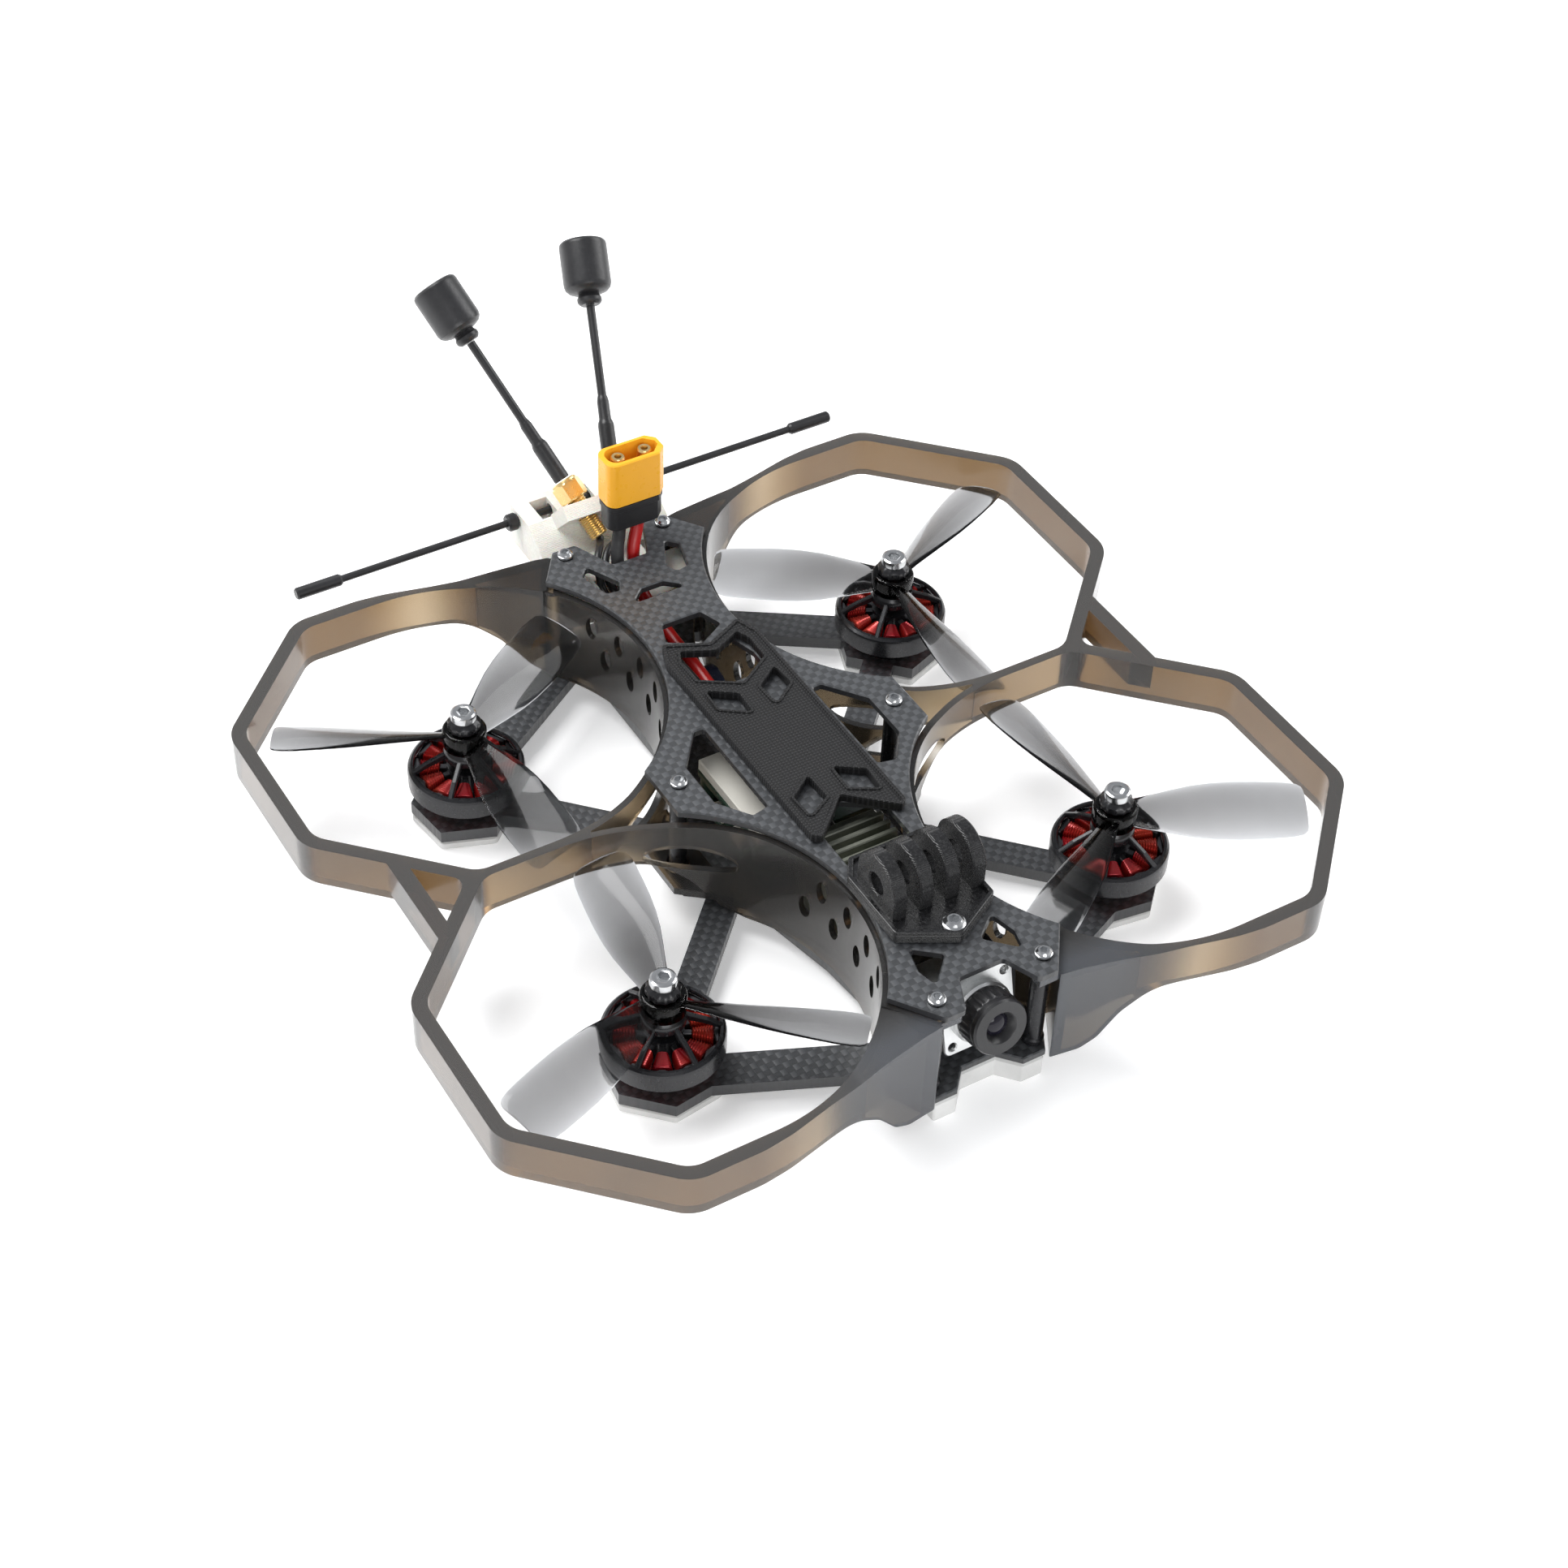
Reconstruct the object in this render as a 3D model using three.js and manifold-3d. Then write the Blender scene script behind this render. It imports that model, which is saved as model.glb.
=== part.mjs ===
// A 3.5 inch ducted racing drone, in millimetres.
// x points to the drone's left, y to its tail and z up, from the ground midway between the
// four motors. The last lines move the whole drone so that the part's origin is under its middle.
import * as THREE from 'three';
import { mergeVertices } from 'three/addons/utils/BufferGeometryUtils.js';
import Module from 'manifold-3d';

const wasm = await Module();
wasm.setup();

// ---------------------------------------------------------------- driving dimensions

const MOTOR_X = 58.8;
const MOTOR_Y = 47.3;
const WHOLE_MIDDLE_Y = 24;
const PROP_RADIUS = 44.45;
const DUCT_RADIUS = PROP_RADIUS + 1.7;
const RIM_WIDTH = 3.4;
const WALL = 1.6;
const GAP = 0.25;
const SIDES = [['left', 1], ['right', -1]];
const CORNERS = [
  { name: 'front_left', sx: 1, sy: -1 },
  { name: 'front_right', sx: -1, sy: -1 },
  { name: 'rear_left', sx: 1, sy: 1 },
  { name: 'rear_right', sx: -1, sy: 1 },
];

// Levels, from the ground up.
const FOOT_TOP = 2.5;
const ARM_BOTTOM = FOOT_TOP + GAP;
const ARM_TOP = ARM_BOTTOM + 3.2;
const FLOOR_BOTTOM = ARM_TOP + GAP;
const FLOOR_TOP = FLOOR_BOTTOM + 2;
const ROOF_BOTTOM = 33;
const ROOF_TOP = 35;
const RIM_TOP = 30.65;
const RIM_BOTTOM = 19.8;
const WALL_TOP = ROOF_BOTTOM - GAP;

// Plate outline.
const PLATE_ARC = DUCT_RADIUS + 1.15;
const WAIST_ARC = DUCT_RADIUS + WALL;
const WING = 33;
const NOSE_Y = 88;
const TAIL_Y = 86;
const NOSE_HALF = 14;
const SHOULDER_Y = 77;
const END_SCREW = { x: 13.5, y: 83 };
const MOUNT_SCREW_Y = -68.5;
const WING_SCREW = { x: 28.5, y: 0 };

// The front camera turns about this axis.
const CAMERA_PIVOT = new THREE.Vector3(0, -72.3, 20.5);
const CAMERA_TILT = THREE.MathUtils.degToRad(14);
const CAMERA_HALF = 9.2;

// ---------------------------------------------------------------- shape helpers

function outline(points) {
  return new THREE.Shape(points.map(([x, y]) => new THREE.Vector2(x, y)));
}

function disc(x, y, radius) {
  const shape = new THREE.Shape();
  shape.absarc(x, y, radius, 0, 2 * Math.PI, false);
  return shape;
}

function slab(shape, low, high, arcSteps = 6) {
  const options = { depth: high - low, bevelEnabled: false, curveSegments: arcSteps };
  return new THREE.ExtrudeGeometry(shape, options).translate(0, 0, low);
}

// A shape drawn in y and z, from one x to another.
function across(shape, x0, x1, arcSteps = 6) {
  return slab(shape, x0, x1, arcSteps).rotateX(Math.PI / 2).rotateZ(Math.PI / 2);
}

function block(x0, x1, y0, y1, z0, z1) {
  const box = new THREE.BoxGeometry(x1 - x0, y1 - y0, z1 - z0);
  return box.translate((x0 + x1) / 2, (y0 + y1) / 2, (z0 + z1) / 2);
}

// A solid turned about the z axis from [radius, height] points listed from low to high.
function turned(profile, sides = 16) {
  const points = profile.map(([radius, height]) => new THREE.Vector2(radius, height));
  return new THREE.LatheGeometry(points, sides).rotateX(Math.PI / 2);
}

function rod(radius, low, high, sides = 12) {
  return turned([[0, low], [radius, low], [radius, high], [0, high]], sides);
}

function ring(inner, outer, low, high, sides = 16) {
  return turned([[inner, low], [outer, low], [outer, high], [inner, high], [inner, low]], sides);
}

// Turns a z-axis shape so that it points along the direction, with its z = 0 at the base.
function aimed(geometry, base, direction) {
  const turn = new THREE.Quaternion().setFromUnitVectors(new THREE.Vector3(0, 0, 1), direction);
  return geometry.applyQuaternion(turn).translate(base.x, base.y, base.z);
}

// ---------------------------------------------------------------- joining and cutting

function solid(geometry) {
  const bare = new THREE.BufferGeometry();
  bare.setAttribute('position', geometry.getAttribute('position').clone());
  bare.setIndex(geometry.index ? geometry.index.clone() : null);
  const merged = mergeVertices(bare, 1e-4);
  const corners = merged.index.array;
  const kept = [];
  for (let i = 0; i < corners.length; i += 3) {
    const [a, b, c] = [corners[i], corners[i + 1], corners[i + 2]];
    if (a !== b && b !== c && c !== a) {
      kept.push(a, b, c);
    }
  }
  const mesh = new wasm.Mesh({
    numProp: 3,
    vertProperties: new Float32Array(merged.getAttribute('position').array),
    triVerts: new Uint32Array(kept),
  });
  return new wasm.Manifold(mesh);
}

function skin(body) {
  const mesh = body.getMesh();
  const geometry = new THREE.BufferGeometry();
  geometry.setAttribute('position', new THREE.BufferAttribute(mesh.vertProperties, 3));
  geometry.setIndex(new THREE.BufferAttribute(mesh.triVerts, 1));
  return geometry;
}

function join(...geometries) {
  return skin(geometries.map(solid).reduce((whole, piece) => whole.add(piece)));
}

function cut(geometry, ...tools) {
  return skin(tools.map(solid).reduce((whole, tool) => whole.subtract(tool), solid(geometry)));
}

function common(geometry, other) {
  return skin(solid(geometry).intersect(solid(other)));
}

// ---------------------------------------------------------------- materials

function finish(color, roughness, metalness = 0, opacity = 1) {
  return new THREE.MeshStandardMaterial({
    color, roughness, metalness, opacity, transparent: opacity < 1,
  });
}

const carbon = finish(0x2b2d31, 0.45);
const smokedPlastic = finish(0x6b6055, 0.3, 0, 0.6);
const propPlastic = finish(0x77797c, 0.15, 0, 0.5);
const rubber = finish(0x1d1e20, 0.8);
const foam = finish(0xf0f0ec, 0.9);
const whiteTpu = finish(0xece9df, 0.6);
const blackMetal = finish(0x1b1c1f, 0.4, 0.6);
const steel = finish(0xc9cbcc, 0.25, 1);
const gold = finish(0xd2a13f, 0.25, 1);
const aluminium = finish(0xb9bbb8, 0.35, 1);
const redEnamel = finish(0x9c1c22, 0.3, 0.4);
const blackPlastic = finish(0x17181a, 0.5);
const circuitBoard = finish(0x101a16, 0.5);
const yellowNylon = finish(0xf2b02a, 0.4);
const redSilicone = finish(0xb21a1c, 0.5);
const heatSink = finish(0x6f7468, 0.5, 0.7);

const drone = new THREE.Group();

function add(name, geometry, material) {
  const mesh = new THREE.Mesh(geometry, material);
  mesh.name = name;
  drone.add(mesh);
  return mesh;
}

// ---------------------------------------------------------------- carbon plates

// Half of an hourglass, from the nose to the tail on the drone's left, hugging both ducts.
function hourglass(noseEdge, tailEdge, arc, wing) {
  const shape = new THREE.Shape();
  const atShoulder = Math.asin((SHOULDER_Y - MOTOR_Y) / arc);
  const atWing = Math.acos((MOTOR_X - wing) / arc);
  noseEdge.forEach(([x, y], i) => (i ? shape.lineTo(x, y) : shape.moveTo(x, y)));
  shape.absarc(MOTOR_X, -MOTOR_Y, arc, Math.PI + atShoulder, Math.PI - atWing, true);
  shape.absarc(MOTOR_X, MOTOR_Y, arc, Math.PI + atWing, Math.PI - atShoulder, true);
  tailEdge.forEach(([x, y]) => shape.lineTo(x, y));
  shape.absarc(-MOTOR_X, MOTOR_Y, arc, atShoulder, -atWing, true);
  shape.absarc(-MOTOR_X, -MOTOR_Y, arc, atWing, -atShoulder, true);
  return shape;
}

// Mirrors a half outline in x and closes it through both halves.
function bothHalves(points) {
  const mirrored = points.map(([x, y]) => [-x, y]).reverse();
  return outline([...points, ...mirrored]);
}

// The same opening on the drone's left and right.
function pair(points) {
  return SIDES.map(([, side]) => outline(points.map(([x, y]) => [side * x, y])));
}

function roofPlate() {
  const nose = [[-NOSE_HALF, -NOSE_Y], [-9.3, -NOSE_Y], [-5.6, -79.5], [5.6, -79.5],
    [9.3, -NOSE_Y], [NOSE_HALF, -NOSE_Y]];
  const tail = [[15.5, TAIL_Y], [9.4, TAIL_Y], [4.6, 75], [-4.6, 75], [-9.4, TAIL_Y], [-15.5, TAIL_Y]];
  const plate = slab(hourglass(nose, tail, PLATE_ARC, WING), ROOF_BOTTOM, ROOF_TOP);
  const openings = [
    ...pair([[14.4, -15.5], [18.8, -16.5], [24.3, -9], [24.3, 4], [17, 13.4], [14.4, 13.4]]),
    ...pair([[4.6, -72.5], [10.6, -67.5], [12.2, -74], [11, -79]]),
    ...pair([[6.4, 68.5], [8, 65.6], [11.2, 66.2], [13.4, 74.4], [10.8, 77.2]]),
    bothHalves([[0, -22], [-8.8, -28], [-8.8, -40.5]]),
    bothHalves([[0, 35.6], [-6.5, 39], [-9, 31], [-9, 24]]),
    bothHalves([[0, 39.4], [-7.4, 43.6], [-5.2, 49.6]]),
    bothHalves([[-7.5, 59.8], [-3, 63.8]]),
  ];
  const screwHoles = screwPlaces().map(({ x, y }) => disc(x, y, 1.6));
  screwHoles.push(disc(0, MOUNT_SCREW_Y, 1.6));
  const tools = [...openings, ...screwHoles].map((hole) => slab(hole, ROOF_BOTTOM - 1, ROOF_TOP + 1));
  return cut(plate, ...tools);
}

function floorPlate() {
  const nose = [[-14.3, -87], [-8.6, -87], [-4.4, -82.3], [4.4, -82.3], [8.6, -87], [14.3, -87]];
  const tail = [[14.3, TAIL_Y], [-14.3, TAIL_Y]];
  const plate = slab(hourglass(nose, tail, PLATE_ARC + WALL, WING - 2), FLOOR_BOTTOM, FLOOR_TOP);
  const openings = [
    bothHalves([[-6, -66], [-6, -52]]),
    bothHalves([[-9, -8], [-9, 8]]),
    bothHalves([[-5, 54], [-5, 64]]),
  ];
  return cut(plate, ...openings.map((hole) => slab(hole, FLOOR_BOTTOM - 1, FLOOR_TOP + 1)));
}

function screwPlaces() {
  const places = [];
  for (const [side, sx] of SIDES) {
    places.push({ name: `nose_${side}`, x: sx * END_SCREW.x, y: -END_SCREW.y });
    places.push({ name: `wing_${side}`, x: sx * WING_SCREW.x, y: WING_SCREW.y });
    places.push({ name: `tail_${side}`, x: sx * END_SCREW.x, y: END_SCREW.y });
  }
  return places;
}

// The motor's seat, for the left rear corner with the motor at the origin.
const SEAT = [[13, 3.9], [3.9, 13], [-8.5, 11.3], [-13, -1], [-1, -13], [11.3, -8.5]];

function seatOutline({ sx, sy }) {
  return outline(SEAT.map(([x, y]) => [sx * (MOTOR_X + x), sy * (MOTOR_Y + y)]));
}

// A straight carbon strip between two points.
function strip(from, to, width) {
  const along = new THREE.Vector2(to[0] - from[0], to[1] - from[1]).normalize();
  const [px, py] = [-along.y * width / 2, along.x * width / 2];
  return outline([[from[0] + px, from[1] + py], [from[0] - px, from[1] - py],
    [to[0] - px, to[1] - py], [to[0] + px, to[1] + py]]);
}

// One carbon piece: a spine under the body and a two-legged arm out to each motor.
function armPlate() {
  const spine = bothHalves([[-9, -SHOULDER_Y + 4], [-12.5, -40], [-20, -6], [-20, 6], [-12.5, 40],
    [-12.5, TAIL_Y - 2]]);
  const pieces = [spine];
  for (const corner of CORNERS) {
    const { sx, sy } = corner;
    pieces.push(seatOutline(corner));
    pieces.push(strip([sx * 55, sy * 53.3], [sx * 8, sy * (sy < 0 ? 74 : 84)], 9));
    pieces.push(strip([sx * 54, sy * 43], [sx * 10, sy * -2], 7.6));
  }
  return join(...pieces.map((shape) => slab(shape, ARM_BOTTOM, ARM_TOP)));
}

function batteryPad() {
  const pad = bothHalves([[0, -22.5], [-10.4, -32], [-12.2, -30.5], [-12.4, 34.5], [-10.2, 40.8], [0, 36.1]]);
  const [low, high] = [ROOF_TOP + GAP, ROOF_TOP + 2.6];
  const windows = [
    ...pair([[3.2, -13.8], [9.5, -18.2], [9.2, -25], [2.8, -21.4]]),
    ...pair([[3.2, 10.6], [9.5, 15], [9.2, 21.8], [2.8, 17.4]]),
    bothHalves([[0, 33], [-7.6, 36.6], [-9.2, 33], [-9, 26], [0, 20.4]]),
  ];
  return cut(slab(pad, low, high), ...windows.map((hole) => slab(hole, low - 1, high + 1)));
}

add('top_plate', roofPlate(), carbon);
add('floor_plate', floorPlate(), carbon);
add('arm_plate', armPlate(), carbon);
add('battery_pad', batteryPad(), rubber);
for (const corner of CORNERS) {
  add(`foot_pad_${corner.name}`, slab(seatOutline(corner), 0, FOOT_TOP), foam);
}
const nosePad = bothHalves([[-4.4, -82.3], [-8.6, -87], [-14.3, -87], [-14.3, -81], [-9, -80.5]]);
add('nose_pad', slab(nosePad, 0, ARM_TOP), foam);

// ---------------------------------------------------------------- standoffs and screws

const SCREW_DEPTH = 4;

for (const { name, x, y } of screwPlaces()) {
  const [low, high] = [FLOOR_TOP + GAP, WALL_TOP];
  const post = turned([[0, low], [2.5, low], [2.5, high], [1.6, high], [1.6, high - SCREW_DEPTH - 1],
    [0, high - SCREW_DEPTH - 1]], 10);
  add(`standoff_${name}`, post.translate(x, y, 0), blackMetal);
  const head = ROOF_TOP + GAP;
  const screw = turned([[0, high - SCREW_DEPTH], [1.3, high - SCREW_DEPTH], [1.3, head], [2, head],
    [2, head + 0.7], [1.3, head + 1.4], [0, head + 1.4]], 10);
  add(`plate_screw_${name}`, screw.translate(x, y, 0), steel);
}

// ---------------------------------------------------------------- duct guards

// The front or rear edge of a guard, from the corner at the body out to the first octagon corner.
function guardEdge(sy, cornerX, cornerY) {
  const apothem = DUCT_RADIUS + RIM_WIDTH;
  const end = MOTOR_Y + apothem;
  const half = apothem * Math.tan(Math.PI / 8);
  return [[cornerX, cornerY], [30, end - 6.7], [45, end - 3.6], [56, end - 0.9], [63, end],
    [MOTOR_X + half, end]].map(([x, y]) => [x, sy * y]);
}

// One guard in plan: half octagons outside, easing inwards to the nose and tail corners.
function guardOutline() {
  const apothem = DUCT_RADIUS + RIM_WIDTH;
  const half = apothem * Math.tan(Math.PI / 8);
  const out = MOTOR_X + apothem;
  return outline([...guardEdge(-1, NOSE_HALF + 0.8, NOSE_Y), [out, -MOTOR_Y - half],
    [out, -MOTOR_Y + half], [out - MOTOR_Y + half, 0], [out, MOTOR_Y - half],
    [out, MOTOR_Y + half], ...guardEdge(1, NOSE_HALF + 2, TAIL_Y + 1).reverse(), [2, 0]]);
}

// A duct's bore: an octagon on its outer half and round on the half towards the body.
function ductBore(sy) {
  const half = DUCT_RADIUS * Math.tan(Math.PI / 8);
  const shape = new THREE.Shape();
  const centre = sy * MOTOR_Y;
  shape.moveTo(MOTOR_X, centre - DUCT_RADIUS);
  shape.lineTo(MOTOR_X + half, centre - DUCT_RADIUS);
  shape.lineTo(MOTOR_X + DUCT_RADIUS, centre - half);
  shape.lineTo(MOTOR_X + DUCT_RADIUS, centre + half);
  shape.lineTo(MOTOR_X + half, centre + DUCT_RADIUS);
  shape.absarc(MOTOR_X, centre, DUCT_RADIUS, Math.PI / 2, 3 * Math.PI / 2, false);
  return shape;
}

// The heights of the guard, seen from the nose: full height at the body, a low rim further out.
function guardProfile() {
  const far = MOTOR_X + DUCT_RADIUS + RIM_WIDTH + 5;
  const side = outline([[0, ARM_TOP + GAP], [23, ARM_TOP + GAP], [26, 8.5], [31, 15], [37.5, RIM_BOTTOM],
    [far, RIM_BOTTOM], [far, RIM_TOP], [38, RIM_TOP], [20, WALL_TOP], [0, WALL_TOP]]);
  return slab(side, -MOTOR_Y * 3, MOTOR_Y * 3).rotateX(Math.PI / 2);
}

// The pocket behind the front or rear panel, open below.
function cornerPocket(sy) {
  const arc = DUCT_RADIUS + WALL;
  const reach = MOTOR_X - 24;
  const from = Math.asin((SHOULDER_Y + 1.4 - MOTOR_Y) / arc);
  const to = Math.acos((MOTOR_X - reach) / arc);
  const shape = new THREE.Shape();
  shape.absarc(MOTOR_X, sy * MOTOR_Y, arc, Math.PI - sy * from, Math.PI - sy * to, sy > 0);
  shape.lineTo(reach, sy * (NOSE_Y + 1.4));
  shape.lineTo(18.4, sy * (NOSE_Y - 1.5));
  return slab(shape, -1, RIM_TOP - 1.2, 8);
}

// Tabs that the standoffs pass through.
function guardTabs() {
  const nose = outline([[9.9, -87.4], [15.4, -87.4], [23.5, -76.5], [18.5, -75.5], [16.5, -79.8],
    [9.9, -79.8]]);
  const tail = outline([[10, 85.8], [16.4, 86.6], [23.5, 76.5], [18.5, 75.5], [16.5, 79.8], [10, 79.8]]);
  const wing = outline([[22.5, -16.2], [33.5, -7], [33.5, 7], [22.5, 16.2]]);
  return [slab(nose, WALL_TOP - 2, WALL_TOP), slab(tail, WALL_TOP - 2, WALL_TOP),
    slab(wing, FLOOR_TOP + GAP, FLOOR_TOP + GAP + 2)];
}

// An oval opening through the wall beside the body, at an angle from the body side towards the wing.
function wallOpening(sy, degrees, height, halfWidth, halfHeight) {
  const opening = rod(1, -4, 4, 12).scale(halfWidth, halfHeight, 1).rotateY(Math.PI / 2);
  const angle = Math.PI - THREE.MathUtils.degToRad(degrees * -sy);
  opening.rotateX(Math.PI / 2).translate(DUCT_RADIUS + WALL / 2, 0, height).rotateZ(angle);
  return opening.translate(MOTOR_X, sy * MOTOR_Y, 0);
}

// Two staggered rows of upright slots, and one long oval near the wing.
function wallOpenings(sy) {
  const rows = [
    { height: 26.5, angles: [-22.5, -11, 0.5, 12] },
    { height: 18.7, angles: [-17, -5.3, 6.4, 18] },
  ];
  const slots = rows.flatMap(({ height, angles }) => {
    return angles.map((degrees) => wallOpening(sy, degrees, height, 1.6, 3.2));
  });
  return [...slots, wallOpening(sy, 53, 21.4, 11, 3.3)];
}

function leftGuard() {
  const tailEdge = [[NOSE_HALF + 1.6, TAIL_Y], [-NOSE_HALF - 1.6, TAIL_Y]];
  const waist = hourglass([[-NOSE_HALF - 1, -NOSE_Y - 9], [NOSE_HALF + 0.8, -NOSE_Y - 9],
    [NOSE_HALF + 0.8, -NOSE_Y]], tailEdge, WAIST_ARC, MOTOR_X - 8);
  const plan = cut(slab(guardOutline(), 0, ROOF_TOP), slab(waist, -1, ROOF_TOP + 1, 12),
    ...[-1, 1].flatMap((sy) => [slab(ductBore(sy), -1, ROOF_TOP + 1, 22), cornerPocket(sy)]));
  const body = common(plan, guardProfile());
  const brace = slab(outline([[90.6, -16], [94.5, -16], [94.5, 16], [90.6, 16]]), RIM_BOTTOM + 2, RIM_TOP);
  const [nose, tail, wing] = guardTabs();
  const leftScrews = screwPlaces().filter(({ x }) => x > 0);
  const bores = leftScrews.map(({ x, y }) => rod(2.8, 5, ROOF_TOP, 10).translate(x, y, 0));
  const joined = join(body, brace, nose, tail, wing);
  const ducts = [-1, 1].map((sy) => slab(ductBore(sy), -1, ROOF_TOP + 1, 22));
  return cut(joined, ...bores, ...ducts, ...wallOpenings(-1), ...wallOpenings(1));
}

function mirroredInX(geometry) {
  const copy = geometry.clone().scale(-1, 1, 1);
  const corners = copy.index.array;
  for (let i = 0; i < corners.length; i += 3) {
    [corners[i], corners[i + 1]] = [corners[i + 1], corners[i]];
  }
  return copy;
}

const guard = leftGuard();
add('duct_guard_left', guard, smokedPlastic);
add('duct_guard_right', mirroredInX(guard), smokedPlastic);

// ---------------------------------------------------------------- motors and propellers

const BELL_RADIUS = 13.8;
const BELL_LOW = 10.8;
const BELL_HIGH = 16.6;
const HUB_LOW = 22.4;
const HUB_HIGH = 27.6;
const HUB_RADIUS = 5.2;
const SHAFT_RADIUS = 2.4;

function motorBase() {
  return turned([[0, ARM_TOP + GAP], [8.5, ARM_TOP + GAP], [8.5, 8.4], [4.5, 8.6], [4.5, 10.4],
    [11.2, 10.8], [12.2, 11.4], [12.2, 14.2], [11.2, 15], [6.5, 16.6], [2.8, 16.6], [0, 16.6]], 16);
}

function motorBell() {
  const can = ring(12.6, BELL_RADIUS, BELL_LOW, BELL_HIGH, 24);
  const crown = turned([[0, 18.8], [4.8, 18.8], [5.2, 19.6], [5.2, HUB_LOW - GAP],
    [SHAFT_RADIUS, HUB_LOW - GAP], [SHAFT_RADIUS, 31.2], [0, 31.2]], 12);
  const side = outline([[3, 19], [4.6, 19], [12.4, 15.4], [13.2, 15.4], [13.2, 16.5], [5, 20.8], [3, 20.8]]);
  const spokes = [];
  for (let i = 0; i < 6; i += 1) {
    const spoke = slab(side, -0.9, 0.9).rotateX(Math.PI / 2);
    spokes.push(spoke.rotateZ(i * Math.PI / 3));
  }
  return join(can, crown, ...spokes);
}

// The blade's sections: distance from the axis, chord, and pitch in degrees.
const BLADE = [
  { at: 3.5, chord: 6, pitch: 34 },
  { at: 9, chord: 8.5, pitch: 33 },
  { at: 18, chord: 12.5, pitch: 29 },
  { at: 28, chord: 14.4, pitch: 24 },
  { at: 38, chord: 14.2, pitch: 19 },
  { at: PROP_RADIUS - 1.6, chord: 12.6, pitch: 17 },
  { at: PROP_RADIUS, chord: 8.6, pitch: 16 },
];

// A blade along +x. The leading edge is on the turning side and higher.
function blade(turning) {
  const places = [];
  const faces = [];
  const middle = (HUB_LOW + HUB_HIGH) / 2;
  for (const { at, chord, pitch } of BLADE) {
    const angle = THREE.MathUtils.degToRad(pitch);
    const across = [[-chord / 2, 0], [0, 0.55], [chord / 2, 0], [0, -0.25]];
    for (const [y, z] of across) {
      const lead = y * Math.cos(angle) - z * Math.sin(angle);
      places.push(at, turning * lead, middle + y * Math.sin(angle) + z * Math.cos(angle));
    }
  }
  const loops = BLADE.length;
  const quad = (a, b, c, d) => faces.push(a, b, c, a, c, d);
  for (let i = 0; i + 1 < loops; i += 1) {
    for (let j = 0; j < 4; j += 1) {
      const k = (j + 1) % 4;
      quad(4 * i + j, 4 * i + k, 4 * i + 4 + k, 4 * i + 4 + j);
    }
  }
  quad(3, 2, 1, 0);
  const last = 4 * (loops - 1);
  quad(last, last + 1, last + 2, last + 3);
  if (turning > 0) {
    faces.reverse();
  }
  const geometry = new THREE.BufferGeometry();
  geometry.setAttribute('position', new THREE.Float32BufferAttribute(places, 3));
  geometry.setIndex(faces);
  return geometry;
}

function propeller(turning) {
  const hub = rod(HUB_RADIUS, HUB_LOW, HUB_HIGH, 16);
  const blades = [0, 1, 2].map((i) => blade(turning).rotateZ(i * 2 * Math.PI / 3));
  return cut(join(hub, ...blades), rod(SHAFT_RADIUS + 0.3, HUB_LOW - 1, HUB_HIGH + 1, 12));
}

function propNut() {
  const bore = SHAFT_RADIUS + 0.3;
  const low = HUB_HIGH + GAP;
  const high = 32.5;
  return turned([[bore, low], [3.9, low], [3.9, 30.6], [3.2, 31.2], [3.2, high], [bore, high], [bore, low]], 12);
}

// Where each propeller's first blade points, in degrees, and which way it turns.
const PROP_REST = {
  front_left: { heading: 93, turning: 1 },
  front_right: { heading: 80, turning: -1 },
  rear_left: { heading: 27, turning: -1 },
  rear_right: { heading: 32, turning: 1 },
};

for (const { name, sx, sy } of CORNERS) {
  const { heading, turning } = PROP_REST[name];
  const [x, y] = [sx * MOTOR_X, sy * MOTOR_Y];
  add(`motor_base_${name}`, motorBase(), redEnamel).position.set(x, y, 0);
  add(`motor_bell_${name}`, motorBell(), blackMetal).position.set(x, y, 0);
  const prop = add(`propeller_${name}`, propeller(turning), propPlastic);
  prop.position.set(x, y, 0);
  prop.rotation.z = THREE.MathUtils.degToRad(heading);
  add(`prop_nut_${name}`, propNut(), steel).position.set(x, y, 0);
}

// ---------------------------------------------------------------- front camera

function cameraBracket() {
  const side = outline([[-79, FLOOR_TOP + GAP], [-62, FLOOR_TOP + GAP], [-62, 20], [-66, 28],
    [-78, 28], [-79, 20]]);
  const plates = [-1, 1].map((sx) => {
    const inner = sx * (CAMERA_HALF + GAP);
    return across(side, Math.min(inner, inner + sx * 1.2), Math.max(inner, inner + sx * 1.2));
  });
  const foot = block(-CAMERA_HALF - 1, CAMERA_HALF + 1, -66, -62, FLOOR_TOP + GAP, FLOOR_TOP + GAP + 1.5);
  const pins = rod(1.4, -12, 12, 8).rotateY(Math.PI / 2).translate(0, CAMERA_PIVOT.y, CAMERA_PIVOT.z);
  return cut(join(...plates, foot), pins);
}

// Camera pieces are drawn about the pivot, looking along -y, and then tilted up.
function tilted(name, geometry, material) {
  const mesh = add(name, geometry, material);
  mesh.position.copy(CAMERA_PIVOT);
  mesh.rotation.x = -CAMERA_TILT;
}

function cameraBody() {
  const h = CAMERA_HALF;
  const face = block(-h, h, -8, -6.8, -h, h);
  const box = block(-h + 0.4, h - 0.4, -6.9, 5.5, -7.2, 7.2);
  const seat = rod(7.4, 0, 2.4, 16).rotateX(Math.PI / 2).translate(0, -7.9, 0);
  const trunnion = rod(1.1, -10.4, 10.4, 8).rotateY(Math.PI / 2);
  const holes = [[-7, -7], [7, 7], [-7, 7], [7, -7]].map(([x, z]) => {
    return rod(0.9, -2, 2, 6).rotateX(Math.PI / 2).translate(x, -7.4, z);
  });
  return cut(join(face, box, seat, trunnion), ...holes.slice(0, 2));
}

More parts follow.
